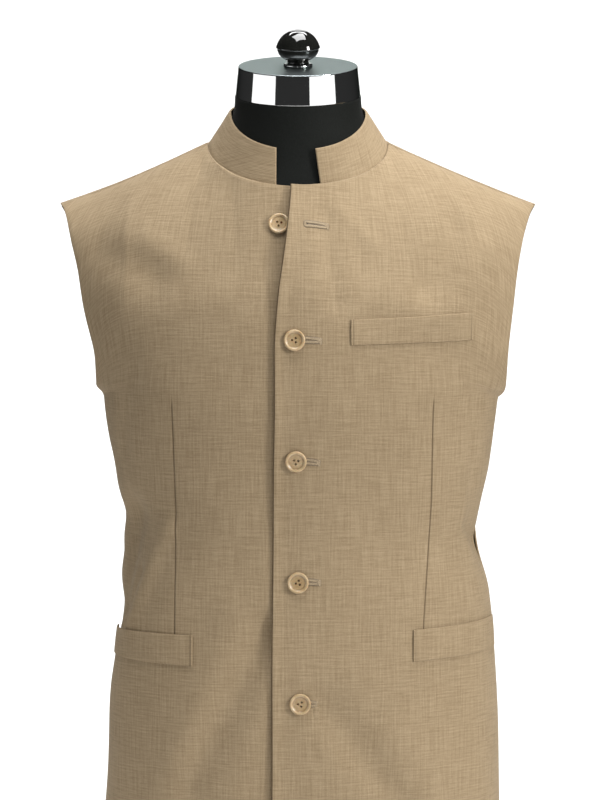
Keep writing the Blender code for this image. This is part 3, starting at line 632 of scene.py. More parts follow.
def dart_shares(kind, level):
    """For each row, the share at which the surface crosses the dart's line."""
    fine = np.linspace(*DART_SEARCH)
    grid = block(kind, np.tile(fine, (len(level), 1)), level)
    z = grid[:, DART_SEARCH[2] // 2, 2]
    wanted = np.interp(z, *np.array(DARTS[kind]).T)
    nearest = np.argmin(np.abs(grid[:, :, 0] - wanted[:, None]), axis=1)
    here = np.arange(len(level)), nearest
    return fine[nearest] + (wanted - grid[(*here, 0)]) / np.gradient(grid[:, :, 0], fine, axis=1)[here]


def panel(kind, part):
    """A panel's inner face: (grid, normals, height off it, girth, painted shade of the dart and turned edge).
    """
    back = kind.startswith("back")
    name = "back" if back else "front"
    line = dense_line(PANEL_COLUMNS[name], PANEL_LENGTH[name], () if back else (DART_SHARE,))
    low = np.linspace(0, ARMHOLE_LEVEL, PANEL_ROWS[0])
    high = np.linspace(ARMHOLE_LEVEL, TOP_LEVEL, PANEL_ROWS[1])
    rows = np.unique(np.concatenate([low, high, DENSE / ROW_LENGTH[0], TOP_LEVEL - DENSE / ROW_LENGTH[1]]))
    share = np.tile(line, (len(rows), 1))
    if not back:
        shift = dart_shares(kind, rows) - DART_SHARE
        shift *= 1 - smooth_step(*DART_BEND_LEVELS, rows)
        bell = np.where(line < DART_SHARE, smooth_step(0, DART_SHARE, line), smooth_step(1, DART_SHARE, line))
        share = share + shift[:, None] * bell
    grid = trimmed(block(kind, share, rows), back)
    normal = grid_normals(grid, -1 if back else 1)
    if back:
        normal[:, 0, 0] = 0
    normal[rows < SIDE_SEAM_TOP + 0.01, -1, 1] = 0
    normal[-1, line >= NECK_SHARE[name]] = shoulder_normal()
    normal /= np.linalg.norm(normal, axis=2, keepdims=True)
    girth = running(grid, 1) + grid[:, :1, 0]
    height = grid[:, :, 2]
    off = crease_heights(girth, height, CREASES[part]) + ripple_heights(girth, height, len(part))
    off += pinch_heights(part, girth[:, -1:] - girth, height)
    if kind == "over":
        off += lap_heights(grid)
        off += EDGE_STAND * np.exp(-((running(grid, 1) / EDGE_STAND_WIDTH) ** 2))
    shade = np.zeros(grid.shape[:2])
    if not back:
        dart = running(grid, 1)
        middle = dart[:, np.argmin(np.abs(line - DART_SHARE))][:, None]
        ends = smooth_step(*DART_FOOT, height) * (1 - smooth_step(*DART_HEAD, height))
        line_bell = np.exp(-(((dart - middle) / DART_WIDTH) ** 2)) * ends
        off -= DART_GROOVE * line_bell
        # Painted shade along the bottom of the dart's groove.
        shade = DART_SHADE * line_bell
    # Painted shade along the turned front edge.
    if kind == "over":
        shade = np.maximum(shade, EDGE_SHADE * (1 - smooth_step(*EDGE_SHADE_WIDTH, running(grid, 1))))
    return grid, normal, off, girth, shade


def cloth_panel(name, kind, part, mirrored):
    """A body panel as a shell: both faces run together at the rounded edges."""
    grid, normal, off, girth, shade = panel(kind, part)
    distance = edge_distance(grid)
    fold = rounded(distance)
    pressed = PRESSED_HEIGHT * np.exp(-(((distance - PRESSED_PLACE) / PRESSED_WIDTH) ** 2))
    outer = grid + normal * (off + WALL * (0.5 + 0.5 * fold) + pressed)[..., None]
    inner = grid + normal * (off + WALL * (0.5 - 0.5 * fold))[..., None]
    uv = np.stack([girth, running(grid, 0)], axis=-1)
    shell = put_shell("cloth_" + name, inner, outer, WOOL, uv, mirrored, kind.startswith("back"), shade)
    hand_over(shell, name)
    print(shell.name, "faces:", len(shell.data.polygons))
    return shell


# %% Cut the four panels
cloth_panel("front_left", "over", "over", False)
cloth_panel("front_right", "under", "under", True)
cloth_panel("back_left", "back", "back left", False)
cloth_panel("back_right", "back", "back right", True)

# %% [markdown]
# ## The band collar
#
# A stand collar is one firm strip. It starts at the neckline, leans in towards the neck, and ends
# square on each side of the opening. Its surface is a ring between two ellipses, and the wearer's
# left end rides a little higher because the upper front lies on the lower one.

# %% Collar
COLLAR_WALL = 0.0024
COLLAR_INSET = 0.0003
COLLAR_LIFT = 0.0012
COLLAR_LAP_SHARE = 0.65
COLLAR_TUCK = 0.07
COLLAR_TOP_HALF_WIDTH = 0.0668
COLLAR_TOP_FRONT = (-0.0712, 0.8305)
COLLAR_TOP_SIDE_Z = 0.8640
COLLAR_TOP_BACK = (0.0615, 0.8765)
COLLAR_ROWS = (26, 0.036)
COLLAR_STEPS = (240, 0.40)
# Each wave of its head: size, radians a metre, phase.
COLLAR_WAVES = ((0.00035, 31, 0.7), (0.0002, 67, 2.0))
COLLAR_UV_TOP = 0.9
COLLAR_END_OVER = (0.0209, 0.0162)
COLLAR_END_UNDER = (0.0209, 0.0209)


def neck_ring(front, side, back, turn):
    """An ellipse round the neck: x by the sine of the turn, y and z by its cosine."""
    fall = np.abs(np.cos(turn))
    near = np.cos(turn) >= 0
    y = side[1] + (np.where(near, front[0], back[0]) - side[1]) * fall
    z = side[2] + (np.where(near, front[1], back[1]) - side[2]) * fall
    return np.stack([side[0] * np.sin(turn), y, z], axis=-1)


def collar_grid():
    """The collar's outer face: rows rise from foot to head, columns go round from end to end."""
    foot = [
        (NECK_FRONT[1] + COLLAR_INSET, NECK_FRONT[2] + COLLAR_LIFT),
        (NECK_SIDE[0] - COLLAR_INSET, NECK_SIDE[1], NECK_SIDE[2] + COLLAR_LIFT),
        (NECK_BACK[1] - COLLAR_INSET, NECK_BACK[2] + COLLAR_LIFT),
    ]
    head_side = (COLLAR_TOP_HALF_WIDTH, NECK_SIDE[1], COLLAR_TOP_SIDE_Z)
    rise = (dense_line(*COLLAR_ROWS) * (1 + COLLAR_TUCK) - COLLAR_TUCK)[:, None]
    width = foot[1][0] + (head_side[0] - foot[1][0]) * rise
    first = np.arcsin((COLLAR_END_OVER[0] + (COLLAR_END_OVER[1] - COLLAR_END_OVER[0]) * rise) / width)
    last = (COLLAR_END_UNDER[0] + (COLLAR_END_UNDER[1] - COLLAR_END_UNDER[0]) * rise) / width
    last = 2 * math.pi - np.arcsin(last)
    turn = first + (last - first) * dense_line(*COLLAR_STEPS)[None, :]
    low = neck_ring(foot[0], foot[1], foot[2], turn)
    high = neck_ring(COLLAR_TOP_FRONT, head_side, COLLAR_TOP_BACK, turn)
    outward = np.stack([np.sin(turn), -np.cos(turn), np.zeros_like(turn)], axis=-1)
    lap = np.where(turn < math.pi / 2, lap_heights(low) * COLLAR_LAP_SHARE, 0.0)
    grid = low + (high - low) * rise[..., None] + outward * lap[..., None]
    return grid, outward


grid, outward = collar_grid()
fold = rounded(edge_distance(grid))
round_it = running(grid, 1)
wave = sum(size * np.sin(turns * round_it + phase) for size, turns, phase in COLLAR_WAVES)
wave = (wave * np.linspace(0, 1, len(grid))[:, None])[..., None]
outer = grid + outward * (wave + (COLLAR_WALL * 0.5 * (fold - 1))[..., None])
inner = grid + outward * (wave - (COLLAR_WALL * 0.5 * (fold + 1))[..., None])
collar_uv = np.stack([round_it, running(grid, 0) + COLLAR_UV_TOP], axis=-1)
collar = put_shell("cloth_collar", inner, outer, WOOL, collar_uv)
hand_over(collar, "collar")
print("collar length along its foot:", round(float(round_it[0, -1]), 3))

# %% [markdown]
# ## Finding a place on the cloth
#
# Welts, buttons and buttonholes lie on a front, so each needs the surface point for a given x and
# height. The surface is a function of share and level, and the question runs the other way. A few
# Newton steps solve it for a whole grid at once: guess, look at the slopes, and move the guess.

# %% Point and normal of a front at a given x and height
STEP = 0.002
FIRST_SHARE = 0.5
LEVEL_GUESS = ((0.175, 0.69, 0.80), (0.0, ARMHOLE_LEVEL, TOP_LEVEL))
LINE_STEPS = np.linspace(0, 1, 25)[:, None]


def slopes(kind, share, level):
    """A point of the block and how it moves with share and with level, by small steps."""
    here = block(kind, share, level)
    by_share = (block(kind, share + STEP, level) - here) / STEP
    by_level = (block(kind, share, level + STEP) - here) / STEP
    return here, by_share, by_level


def parameters_at(kind, x, z):
    """Share and level of the points with this x and this height, by nine Newton steps."""
    share, level = np.full_like(x, FIRST_SHARE), np.interp(z, *LEVEL_GUESS)
    for _ in range(9):
        here, by_share, by_level = slopes(kind, share, level)
        miss_x, miss_z = x - here[..., 0], z - here[..., 2]
        det = by_share[..., 0] * by_level[..., 2] - by_level[..., 0] * by_share[..., 2]
        share = share + (miss_x * by_level[..., 2] - by_level[..., 0] * miss_z) / det
        level = level + (by_share[..., 0] * miss_z - miss_x * by_share[..., 2]) / det
        share, level = np.clip(share, 0.001, 0.995), np.clip(level, 0.01, TOP_LEVEL - 0.01)
    return share, level


def level_at(kind, share, z):
    """Level of the points with this share and this height, by six Newton steps."""
    level = np.interp(z, *LEVEL_GUESS)
    for _ in range(6):
        here, _, by_level = slopes(kind, share, level)
        level = np.clip(level + (z - here[..., 2]) / by_level[..., 2], 0.01, TOP_LEVEL - 0.01)
    return level


def line_length(kind, share_from, share_to, level):
    """Length of a level's curve between two shares, as the sum of 24 short steps."""
    first, last = share_from.ravel(), share_to.ravel()
    line = block(kind, first + (last - first) * LINE_STEPS, np.tile(level.ravel(), (len(LINE_STEPS), 1)))
    return np.linalg.norm(np.diff(line, axis=0), axis=2).sum(axis=0).reshape(level.shape)


def lift_off(kind, share, level, lift, skip=()):
    """Cloth points moved out along their normals: (points, normals). skip names creases that what lies
    here doesn't follow."""
    here, by_share, by_level = slopes(kind, share, level)
    normal = np.cross(by_share, by_level)
    normal /= np.linalg.norm(normal, axis=-1, keepdims=True)
    start = block(kind, np.zeros_like(share), level)[..., 0]
    girth = start + line_length(kind, np.zeros_like(share), share, level)
    to_seam = line_length(kind, share, np.ones_like(share), level)
    creases = {name: row for name, row in CREASES[kind].items() if name not in skip}
    off = crease_heights(girth, here[..., 2], creases) + ripple_heights(girth, here[..., 2], len(kind))
    off = off + pinch_heights(kind, to_seam, here[..., 2])
    if kind == "over":
        off = off + lap_heights(here)
    return here + normal * (off + lift)[..., None], normal


def on_front(kind, x, z, lift, skip=()):
    """Cloth points of (x, z), moved out along the normal. x and z have one shape."""
    share, level = parameters_at(kind, x, z)
    return lift_off(kind, share, level, lift, skip)


place, _ = on_front("over", np.array([[0.1]]), np.array([[0.5]]), 0.0)
print("cloth at x 100 mm, height 500 mm:", np.round(place[0, 0], 4).tolist())

# %% [markdown]
# ## Pocket welts
#
# A welt is a folded strip sewn over a pocket's mouth: its lower edge is a seam, its ends are stitched
# down, and its upper edge is a free fold. Each one is a small rounded shell on the front's own surface,
# low at the seam and slightly open at the top. A fine groove near each end is the row of stitches.

# %% Welts
WELT_THICK = 0.0013
# Front, x and height of the low inner, low outer, high inner and high outer corners, and the stand-off.
WELTS = {
    "chest_welt": ("over", (0.0494, 0.6476), (0.1652, 0.6503), (0.0494, 0.6714), (0.1652, 0.6760), 0.0004),
    "hip_welt_left": ("over", (0.1087, 0.3442), (None, 0.3485), (0.1087, 0.3744), (None, 0.3781), 0.0008),
    "hip_welt_right": ("under", (0.0992, 0.3403), (None, 0.3445), (0.0992, 0.3696), (None, 0.3698), 0.0008),
}
WELT_END_SHARE = 0.915
WELT_STEPS = (90, 0.12)
WELT_ROWS = (26, 0.025)
WELT_UV = (0.3, 0.37)
WELT_LIFT = 0.00035
WELT_ROUND = 0.0009
WELT_PUFF = 0.0003
POCKET_TROUGHS = ("waist trough", "ridge foot", "waist nip", "nip crease")
END_STITCHES = (0.0022, 0.0004, 0.00028)
# Strength of painted shade in the stitched grooves near each welt's ends.
STITCH_SHADE = 0.55


def corner_share(kind, corner):
    """Share of a corner from its x; one without an x lies at the welt's end near the side seam."""
    x, z = corner
    if x is None:
        return WELT_END_SHARE
    share, _ = parameters_at(kind, np.array([[x]]), np.array([[z]]))
    return float(share[0, 0])


def between_corners(values, across, up):
    """Straight lines both ways between low inner, low outer, high inner and high outer values."""
    low_in, low_out, high_in, high_out = values
    low = low_in + (low_out - low_in) * across
    return low + (high_in + (high_out - high_in) * across - low) * up


def welt(name):
    """A rounded shell between four corners of the front; it stands off towards its outer top corner."""
    kind, *corners, stand = WELTS[name]
    across, up = np.meshgrid(dense_line(*WELT_STEPS), dense_line(*WELT_ROWS))
    share = between_corners([corner_share(kind, corner) for corner in corners], across, up)
    z = between_corners([corner[1] for corner in corners], across, up)
    base, normal = lift_off(kind, share, level_at(kind, share, z), WALL + WELT_LIFT, POCKET_TROUGHS)
    distance = edge_distance(base)
    fold = rounded(distance, WELT_ROUND)
    along = running(base, 1)
    ends = np.minimum(along, along[:, -1:] - along)
    from_end, width, deep = END_STITCHES
    stitches = np.exp(-(((ends - from_end) / width) ** 2))
    gape = stand * up**1.6 * (0.25 + 0.75 * across**2) + WELT_PUFF * np.sin(math.pi * across) * up
    puff = WELT_PUFF * np.sin(math.pi * np.clip(up, 0, 1))
    outer = base + normal * (gape + puff + WELT_THICK * (0.5 + 0.5 * fold) - stitches * deep)[..., None]
    inner = base + normal * (gape + WELT_THICK * (0.5 - 0.5 * fold))[..., None]
    uv = np.stack([along + corners[0][0] + WELT_UV[0], z + WELT_UV[1]], axis=-1)
    # Painted shade in the stitch grooves.
    shade = stitches * STITCH_SHADE
    made = put_shell("cloth_" + name, inner, outer, WOOL, uv, kind == "under", False, shade)
    hand_over(made, name)
    print(name, "faces:", len(made.data.polygons), "inner end share:", round(float(share[0, 0]), 3))


for name in WELTS:
    welt(name)

# %% [markdown]
# ## Horn buttons
#
# A jacket button is turned on a lathe: a raised rim, a hollow for the thread, and holes drilled
# through. A lathe shape is a profile of radius and height taken round a circle. The three holes are
# steep dips in that same surface, so no cutting is needed and the mesh stays closed. The horn is
# cloudy under a soft polish, and painted shade darkens its hollow and the inner wall of its rim.

# %% Horn and thread
HORN_DARK = (0.36, 0.245, 0.118)
HORN_LIGHT = (0.54, 0.405, 0.240)
# Colour of painted shade in a button's hollow.
HORN_HOLLOW_SHADE = (0.175, 0.105, 0.040)


def horn():
    """Cloudy beige with faint streaks, painted shade in the hollow and on the rim's inner wall, under a soft
    polish.
    """
    tree = new_tree("horn")
    place = tree.place()
    cloudy = tree.noise(place, 120.0, 3.0, 0.55, (1, 1, 0.35))
    streaks = tree.noise(place, 1.0, 2.0, 0.5, (220, 220, 1500))
    tone = tree.range(tree.sum(cloudy, streaks, 0.35), 0.45, 0.95)
    colour = tree.mix(tone, HORN_DARK, HORN_LIGHT)
    return tree.finish({
        # Painted shade in the hollow and on the rim's inner wall.
        "Base Color": tree.mix(tree.painted("hollow_shade"), colour, HORN_HOLLOW_SHADE),
        "Roughness": 0.36,
        "Coat Weight": 0.25,
        "Coat Roughness": 0.22,
        "Subsurface Weight": 0.08,
        "Subsurface Scale": 0.002,
        "Normal": tree.bump(cloudy, 0.0001, 0.25),
    })


def thread(name, low, high):
    """Twisted thread: short slanting bands of two near tones, matt, with painted shade where it dives into
    the cloth.
    """
    tree = new_tree(name)
    twist = tree.threads(tree.place(), 2400, 2400, 900)
    colour = tree.mix(tree.range(twist, 0.35, 0.65), low, high)
    return tree.finish({
        "Base Color": tree.mix(tree.painted("groove_shade"), colour, GROOVE_SHADE_COLOUR),
        "Roughness": 0.8,
        "Sheen Weight": 0.2,
        "Normal": tree.bump(twist, 0.0001, 0.4),
    })


HORN = horn()
HOLE_THREAD = thread("buttonhole_thread", (0.29, 0.220, 0.135), (0.43, 0.334, 0.213))
# Painted shade: a near-black roll in the first buttonhole's open eye.
EYE_HOLE_SHADE = thread("eye_hole_shade", (0.012, 0.008, 0.004), (0.030, 0.020, 0.010))
# Painted shade: a dark roll in each buttonhole's slit.
SLIT_SHADE = thread("slit_shade", (0.085, 0.056, 0.030), (0.150, 0.105, 0.060))
print("finishes:", HORN.name, HOLE_THREAD.name, EYE_HOLE_SHADE.name, SLIT_SHADE.name)

# %% Button shape
# Front, x, height, and turn of the holes in degrees.
BUTTONS = {
    "button_1": ("under", 0.0177, 0.7599, 100),
    "button_2": ("over", -0.0033, 0.6525, 0),
    "button_3": ("over", -0.0019, 0.5385, 81),
    "button_4": ("over", 0.0000, 0.4214, 15),
    "button_5": ("over", 0.0021, 0.3065, -7),
}
BUTTON_PROFILE = (
    (0.0, 0.00195),
    (0.0022, 0.00196),
    (0.0052, 0.00200),
    (0.0067, 0.00222),
    (0.0076, 0.00285),
    (0.0084, 0.00332),
    (0.0091, 0.00336),
    (0.0097, 0.00305),
    (0.0101, 0.00235),
    (0.01005, 0.00165),
    (0.0093, 0.0008),
    (0.0080, 0.0003),
    (0.0062, 0.0001),
    (0.0, 0.0),
)
# Painted shade in the button's flat hollow and in a ring on the rim's inner wall.
HOLLOW_SHADE_FLAT = 0.30
HOLLOW_SHADE_EDGE = (0.0068, 0.0078)
HOLLOW_SHADE_RING = 0.35
HOLLOW_SHADE_RADIUS = 0.0069
HOLLOW_SHADE_WIDTH = 0.0007
HOLE_CIRCLE = 0.0023
HOLE_RADIUS = 0.00100
HOLE_DEEP = 0.0019
HOLE_WALL = (0.0001, 0.00018)
HOLE_FACE = (0.0012, 0.0017)
HOLE_ZONE = 0.0048
BUTTON_STEPS = 110
ZONE_STEPS = 44
BUTTON_SIDES = 120
BUTTON_SEAT = 0.0003


def smooth_profile(points, count):
    """Evenly spaced points on a Catmull-Rom curve through the given ones."""
    p = np.array(points, float)
    ends = np.concatenate([[2 * p[0] - p[1]], p, [2 * p[-1] - p[-2]]])
    t = np.linspace(0, len(p) - 1, count)
    k = np.clip(np.floor(t).astype(int), 0, len(p) - 2)
    f = (t - k)[:, None]
    a, b, c, d = ends[k], ends[k + 1], ends[k + 2], ends[k + 3]
    return 0.5 * (2 * b + (c - a) * f + (2 * a - 5 * b + 4 * c - d) * f**2 + (3 * b - a - 3 * c + d) * f**3)


def lathe(profile, sides, sink=None):
    """Points and faces of a profile taken once round Z; its first and last points are on the axis. sink
    lowers the points of the upper face."""
    turn = np.linspace(0, 2 * math.pi, sides, endpoint=False)
    ring = profile[1:-1]
    x = ring[:, :1] * np.cos(turn)
    y = ring[:, :1] * np.sin(turn)
    z = np.repeat(ring[:, 1:], sides, axis=1)
    if sink is not None:
        z = z - sink(x, y, z)
    body = np.stack([x, y, z], axis=-1).reshape(-1, 3)
    points = np.concatenate([body, [[0, 0, profile[0, 1]], [0, 0, profile[-1, 1]]]])
    index = np.arange(len(body)).reshape(len(ring), sides)
    after = np.roll(index, -1, axis=1)
    quads = np.stack([index[:-1], index[1:], after[1:], after[:-1]], axis=-1).reshape(-1, 4)
    top, under = len(body), len(body) + 1
    caps = [np.stack([np.full(sides, top), index[0], after[0]], axis=-1)]
    caps.append(np.stack([np.full(sides, under), after[-1], index[-1]], axis=-1))
    return points, quads.tolist() + np.concatenate(caps).tolist()


def hole_sink(turn):
    """Three steep round dips on one small circle, only in the upper face."""
    angles = np.radians(turn + np.array([0, 120, 240]))

    def sink(x, y, z):
        total = np.zeros_like(x)
        for angle in angles:
            away = np.hypot(x - HOLE_CIRCLE * np.cos(angle), y - HOLE_CIRCLE * np.sin(angle))
            inside, outside = HOLE_RADIUS - HOLE_WALL[0], HOLE_RADIUS + HOLE_WALL[1]
            total += HOLE_DEEP * (1 - smooth_step(inside, outside, away))
        return total * smooth_step(*HOLE_FACE, z)

    return sink


def stand_on(kind, x, height, lift):
    """Axes and place of something that lies on a front: (right, up, out, point)."""
    point, normal = on_front(kind, np.array([[x]]), np.array([[height]]), lift)
    out = normal[0, 0]
    right = -np.cross((0, 0, 1), out)
    right /= np.linalg.norm(right)
    return right, np.cross(out, right), out, point[0, 0]


def put_loose(name, points, faces, finish, replaced=None):
    """Puts points and mixed faces into a smooth mesh that rides on the body."""
    return hand_over(put_mesh(name, points, faces, finish), replaced)


def button(name):
    """A lathe shape with three dips, laid on its front."""
    kind, x, height, turn = BUTTONS[name]
    fine = smooth_profile(BUTTON_PROFILE, BUTTON_STEPS)
    fine[:, 0] = np.clip(fine[:, 0], 0, None)
    inner = np.linspace(0, HOLE_ZONE, ZONE_STEPS)[:-1]
    flat = np.stack([inner, np.interp(inner, *np.array(BUTTON_PROFILE[:4]).T)], axis=1)
    fine = np.concatenate([flat, fine[fine[:, 0] > HOLE_ZONE], [[0.0, 0.0]]])
    points, faces = lathe(fine, BUTTON_SIDES, hole_sink(turn))
    # Painted shade: its strength over the flat hollow and the rim's inner wall.
    radius = np.hypot(points[:, 0], points[:, 1])
    hollow_shade = HOLLOW_SHADE_FLAT * (1 - smooth_step(*HOLLOW_SHADE_EDGE, radius))
    hollow_shade += HOLLOW_SHADE_RING * np.exp(-(((radius - HOLLOW_SHADE_RADIUS) / HOLLOW_SHADE_WIDTH) ** 2))
    right, up, out, place = stand_on(kind, x, height, WALL + BUTTON_SEAT)
    points = points @ np.array([right, up, out]) + place
    if kind == "under":
        points = points * (-1, 1, 1)
        faces = [face[::-1] for face in faces]
    made = put_loose("horn_" + name, points, faces, HORN, name)
    paint(made.data, "hollow_shade", hollow_shade)


for name in BUTTONS:
    button(name)
print("buttons:", len(BUTTONS))

# %% [markdown]
# ## Keyhole buttonholes
# A buttonhole in a coat is a slit with a round eye for the button's shank, and close stitches bind
# its edge. The binding is a thin roll along a closed path: two straight sides, one wide round end
# and one narrow end. The roll's thickness swells and shrinks with every stitch. Inside it a thin dark
# roll is painted shade in the slit, and a short bar of stitches ends it. In the first buttonhole, which
# is left open, a near-black ring is painted shade in the eye.

# %% Buttonholes
# x and height of the eye and of the far end.
BUTTONHOLES = {
    "buttonhole_1": (0.0080, 0.7580, 0.0290, 0.7574),
    "buttonhole_2": (-0.0010, 0.6530, 0.0226, 0.6522),
    "buttonhole_3": (0.0004, 0.5388, 0.0212, 0.5374),
    "buttonhole_4": (0.0023, 0.4222, 0.0217, 0.4220),
    "buttonhole_5": (0.0044, 0.3068, 0.0198, 0.3064),
}
SLOT_POWER = 0.35
SLIT_HALF = 0.0017
EYE_HALF = 0.0022
EYE_REACH = 0.0016
EYE_OUT = 0.7
ROLL = 0.0017
ROLL_FLAT = 0.30
ROLL_SIDES = 10
ROLL_LIFT = 0.00012
SWELL = 0.22
STITCH = 0.00062
NARROW = (0.55, 0.95, 0.12, -0.0003)
SLIT_SPAN = (0.02, 0.94)
SLIT_ROLL = 0.00030
SLIT_FLAT = 0.6
PATH_POINTS = 560
DOT_RADIUS = 0.0005
DOT_BACK = 0.0001
DOT_ROLL = 0.0006
DOT_ROUND = 0.0031
BAR_HALF = 0.0015
BAR_SPAN = (-0.0039, 0.0024)


def closed_path(length, count):
    """A rounded slot with a round eye at its left end, as evenly spaced points (along, across)."""
    turn = np.linspace(0, 2 * math.pi, 4 * count + 1)
    along = length / 2 * (1 + np.sign(np.cos(turn)) * np.abs(np.cos(turn)) ** SLOT_POWER)
    across = np.sign(np.sin(turn)) * np.abs(np.sin(turn)) ** SLOT_POWER * SLIT_HALF
    eye = np.exp(-((along / EYE_REACH) ** 2))
    start, end, squeeze, drop = NARROW
    far = smooth_step(start * length, end * length, along)
    across = across * (1 + (EYE_HALF / SLIT_HALF - 1) * eye) * (1 - squeeze * far) + drop * far
    along = along - EYE_HALF * EYE_OUT * eye * np.clip(-np.cos(turn), 0, 1)
    line = np.stack([along, across], axis=1)
    run = np.concatenate([[0], np.cumsum(np.linalg.norm(np.diff(line, axis=0), axis=1))])
    even = np.linspace(0, run[-1], count, endpoint=False)
    return np.stack([np.interp(even, run, line[:, 0]), np.interp(even, run, line[:, 1])], axis=1), run[-1]


def roll_along(name, kind, flat_line, whole, closed, thick, finish, flat=0.8):
    """A stitched roll: half a round section carried along a line on the cloth, with a swell each stitch.
    flat_line has x and height; the section is an ellipse across the line and out of the cloth, flat times
    as high as wide."""
    count = len(flat_line)
    x, z = flat_line[:, 0][None, :], flat_line[:, 1][None, :]
    point, normal = on_front(kind, x, z, WALL + ROLL_LIFT)
    point, normal = point[0], normal[0]
    ahead = np.roll(point, -1, axis=0) - np.roll(point, 1, axis=0) if closed else np.gradient(point, axis=0)
    ahead /= np.linalg.norm(ahead, axis=1, keepdims=True)
    across = np.cross(ahead, normal)
    run = np.linspace(0, whole, count, endpoint=not closed)
    swell = 1 + SWELL * np.sin(2 * math.pi * run / (whole / max(1, round(whole / STITCH))))
    if not closed:
        swell = swell * np.sqrt(np.clip(1 - (2 * run / whole - 1) ** 8, 0.02, 1))
    turn = np.linspace(0, 2 * math.pi, ROLL_SIDES, endpoint=False)
    section = point[:, None] + (thick * swell)[:, None, None] * (
        across[:, None] * np.cos(turn)[None, :, None] + normal[:, None] * np.sin(turn)[None, :, None] * flat
    )
    index = np.arange(count * ROLL_SIDES).reshape(count, ROLL_SIDES)
    side = np.roll(index, -1, axis=1)
    if closed:
        faces = np.stack([index, side, np.roll(side, -1, axis=0), np.roll(index, -1, axis=0)], axis=-1)
        faces = faces.reshape(-1, 4).tolist()
    else:
        faces = np.stack([index[:-1], side[:-1], side[1:], index[1:]], axis=-1).reshape(-1, 4).tolist()
        faces += [index[0, ::-1].tolist(), index[-1].tolist()]
    made = put_loose(name, section.reshape(-1, 3), faces, finish)
    # Painted shade on the roll's sides, where it meets the cloth.
    paint(made.data, "groove_shade", np.tile(1 - np.abs(np.sin(turn)), count))


def buttonhole(name):
    """Binding, painted slit shade and end bar of one buttonhole on the upper front; the first also gets
    painted shade in its eye.
    """
    eye_x, eye_z, end_x, end_z = BUTTONHOLES[name]
    start, end = np.array([eye_x, eye_z]), np.array([end_x, end_z])
    length = float(np.linalg.norm(end - start)) - 2 * BAR_HALF
    ahead = (end - start) / np.linalg.norm(end - start)
    across = np.array([-ahead[1], ahead[0]])
    path, whole = closed_path(length, PATH_POINTS)
    line = start + path[:, :1] * ahead + path[:, 1:] * across
    roll_along(name + "_binding", "over", line, whole, True, ROLL, HOLE_THREAD, ROLL_FLAT)
    # The slit is a thin dark roll: painted shade in the cut.
    t = np.linspace(0.0, 1.0, 60)[:, None]
    slit = start + ahead * length * (SLIT_SPAN[0] + SLIT_SPAN[1] * t)
    slit = slit + across * NARROW[3] * smooth_step(NARROW[0], NARROW[1], t)
    roll_along(name + "_slit_shade", "over", slit, length * SLIT_SPAN[1], False, SLIT_ROLL, SLIT_SHADE, SLIT_FLAT)
    bar = end - ahead * BAR_HALF + across * (np.linspace(*BAR_SPAN, 40)[:, None])
    roll_along(name + "_bar", "over", bar, BAR_SPAN[1] - BAR_SPAN[0], False, BAR_HALF, HOLE_THREAD, ROLL_FLAT)
    # Painted shade: a near-black ring in the open eye.
    if name == "buttonhole_1":
        turn = np.linspace(0, 2 * math.pi, 40, endpoint=False)[:, None]
        dot = start - ahead * DOT_BACK + DOT_RADIUS * (np.cos(turn) * ahead + np.sin(turn) * across)
        roll_along(name + "_eye_hole_shade", "over", dot, DOT_ROUND, True, DOT_ROLL, EYE_HOLE_SHADE)


for name in BUTTONHOLES:
    buttonhole(name)
print("buttonholes:", len(BUTTONHOLES))

# %% [markdown]
# ## The dress form
#
# A shop form is a padded torso without arms, in a tight black jersey cover. It is a form of the same
# block as the jacket, a little smaller, with a flat plate at each arm. Its neck draws in to a column
# under the metal cap. The jersey is a fine knit, so its surface has tiny ribs and a soft sheen.

# %% Jersey
def jersey():
    """Near-black knit: fine upright ribs with small cross dips, and sheen at a low angle."""
    tree = new_tree("jersey")
    place = tree.place()
    soft = tree.noise(place, 14.0)
    ribs = tree.noise(place, 1.0, 1.0, 0.4, (1300, 1300, 500))
    tone = tree.range(tree.sum(ribs, soft, 0.5), 0.5, 1.0)
    return tree.finish({
        "Base Color": tree.mix(tone, (0.0018, 0.0026, 0.0019), (0.0045, 0.0058, 0.0046)),
        "Roughness": 0.8,
        "Specular IOR Level": 0.2,
        "Sheen Weight": 0.02,
        "Sheen Roughness": 0.35,
        "Normal": tree.bump(ribs, 0.0002, 0.35),
    })


JERSEY = jersey()
print("made", JERSEY.name)

# %% Torso and neck
FORM_CLEARANCE = (
    0.0175, 0.0188, 0.0212, 0.0245, 0.0175, 0.0125, 0.0110,
    0.0120, 0.0115, 0.0080, 0.0045, 0.0018, 0.0010, 0.0007,
)
FORM_ARM_BULGE = 0.0065
FORM_FOOT = ((0.1220, 0.0100), (0.1232, 0.0050), (0.1262, 0.0018), (0.1300, 0.0))
FORM_NECK_DROP = 0.0016
FORM_NECK_INSET = 0.0018
NECK_HALF_WIDTH = 0.0608
NECK_HALF_DEPTH = 0.0600
NECK_FLARE = 2.5
CAP_TILT = math.radians(8.5)
CAP_CENTRE = np.array((0.0, -0.005, 0.8802))
TILT = np.array(Matrix.Rotation(CAP_TILT, 3, "X"))
MERGE = 0.00004
SLIVER = 0.00001
FORM_ROWS = (70, 40)
PLATE_STEPS = 14
NECK_ROWS = 40
FORM_NECK_STEPS = 24
FORM_SHOULDER_STEPS = 30


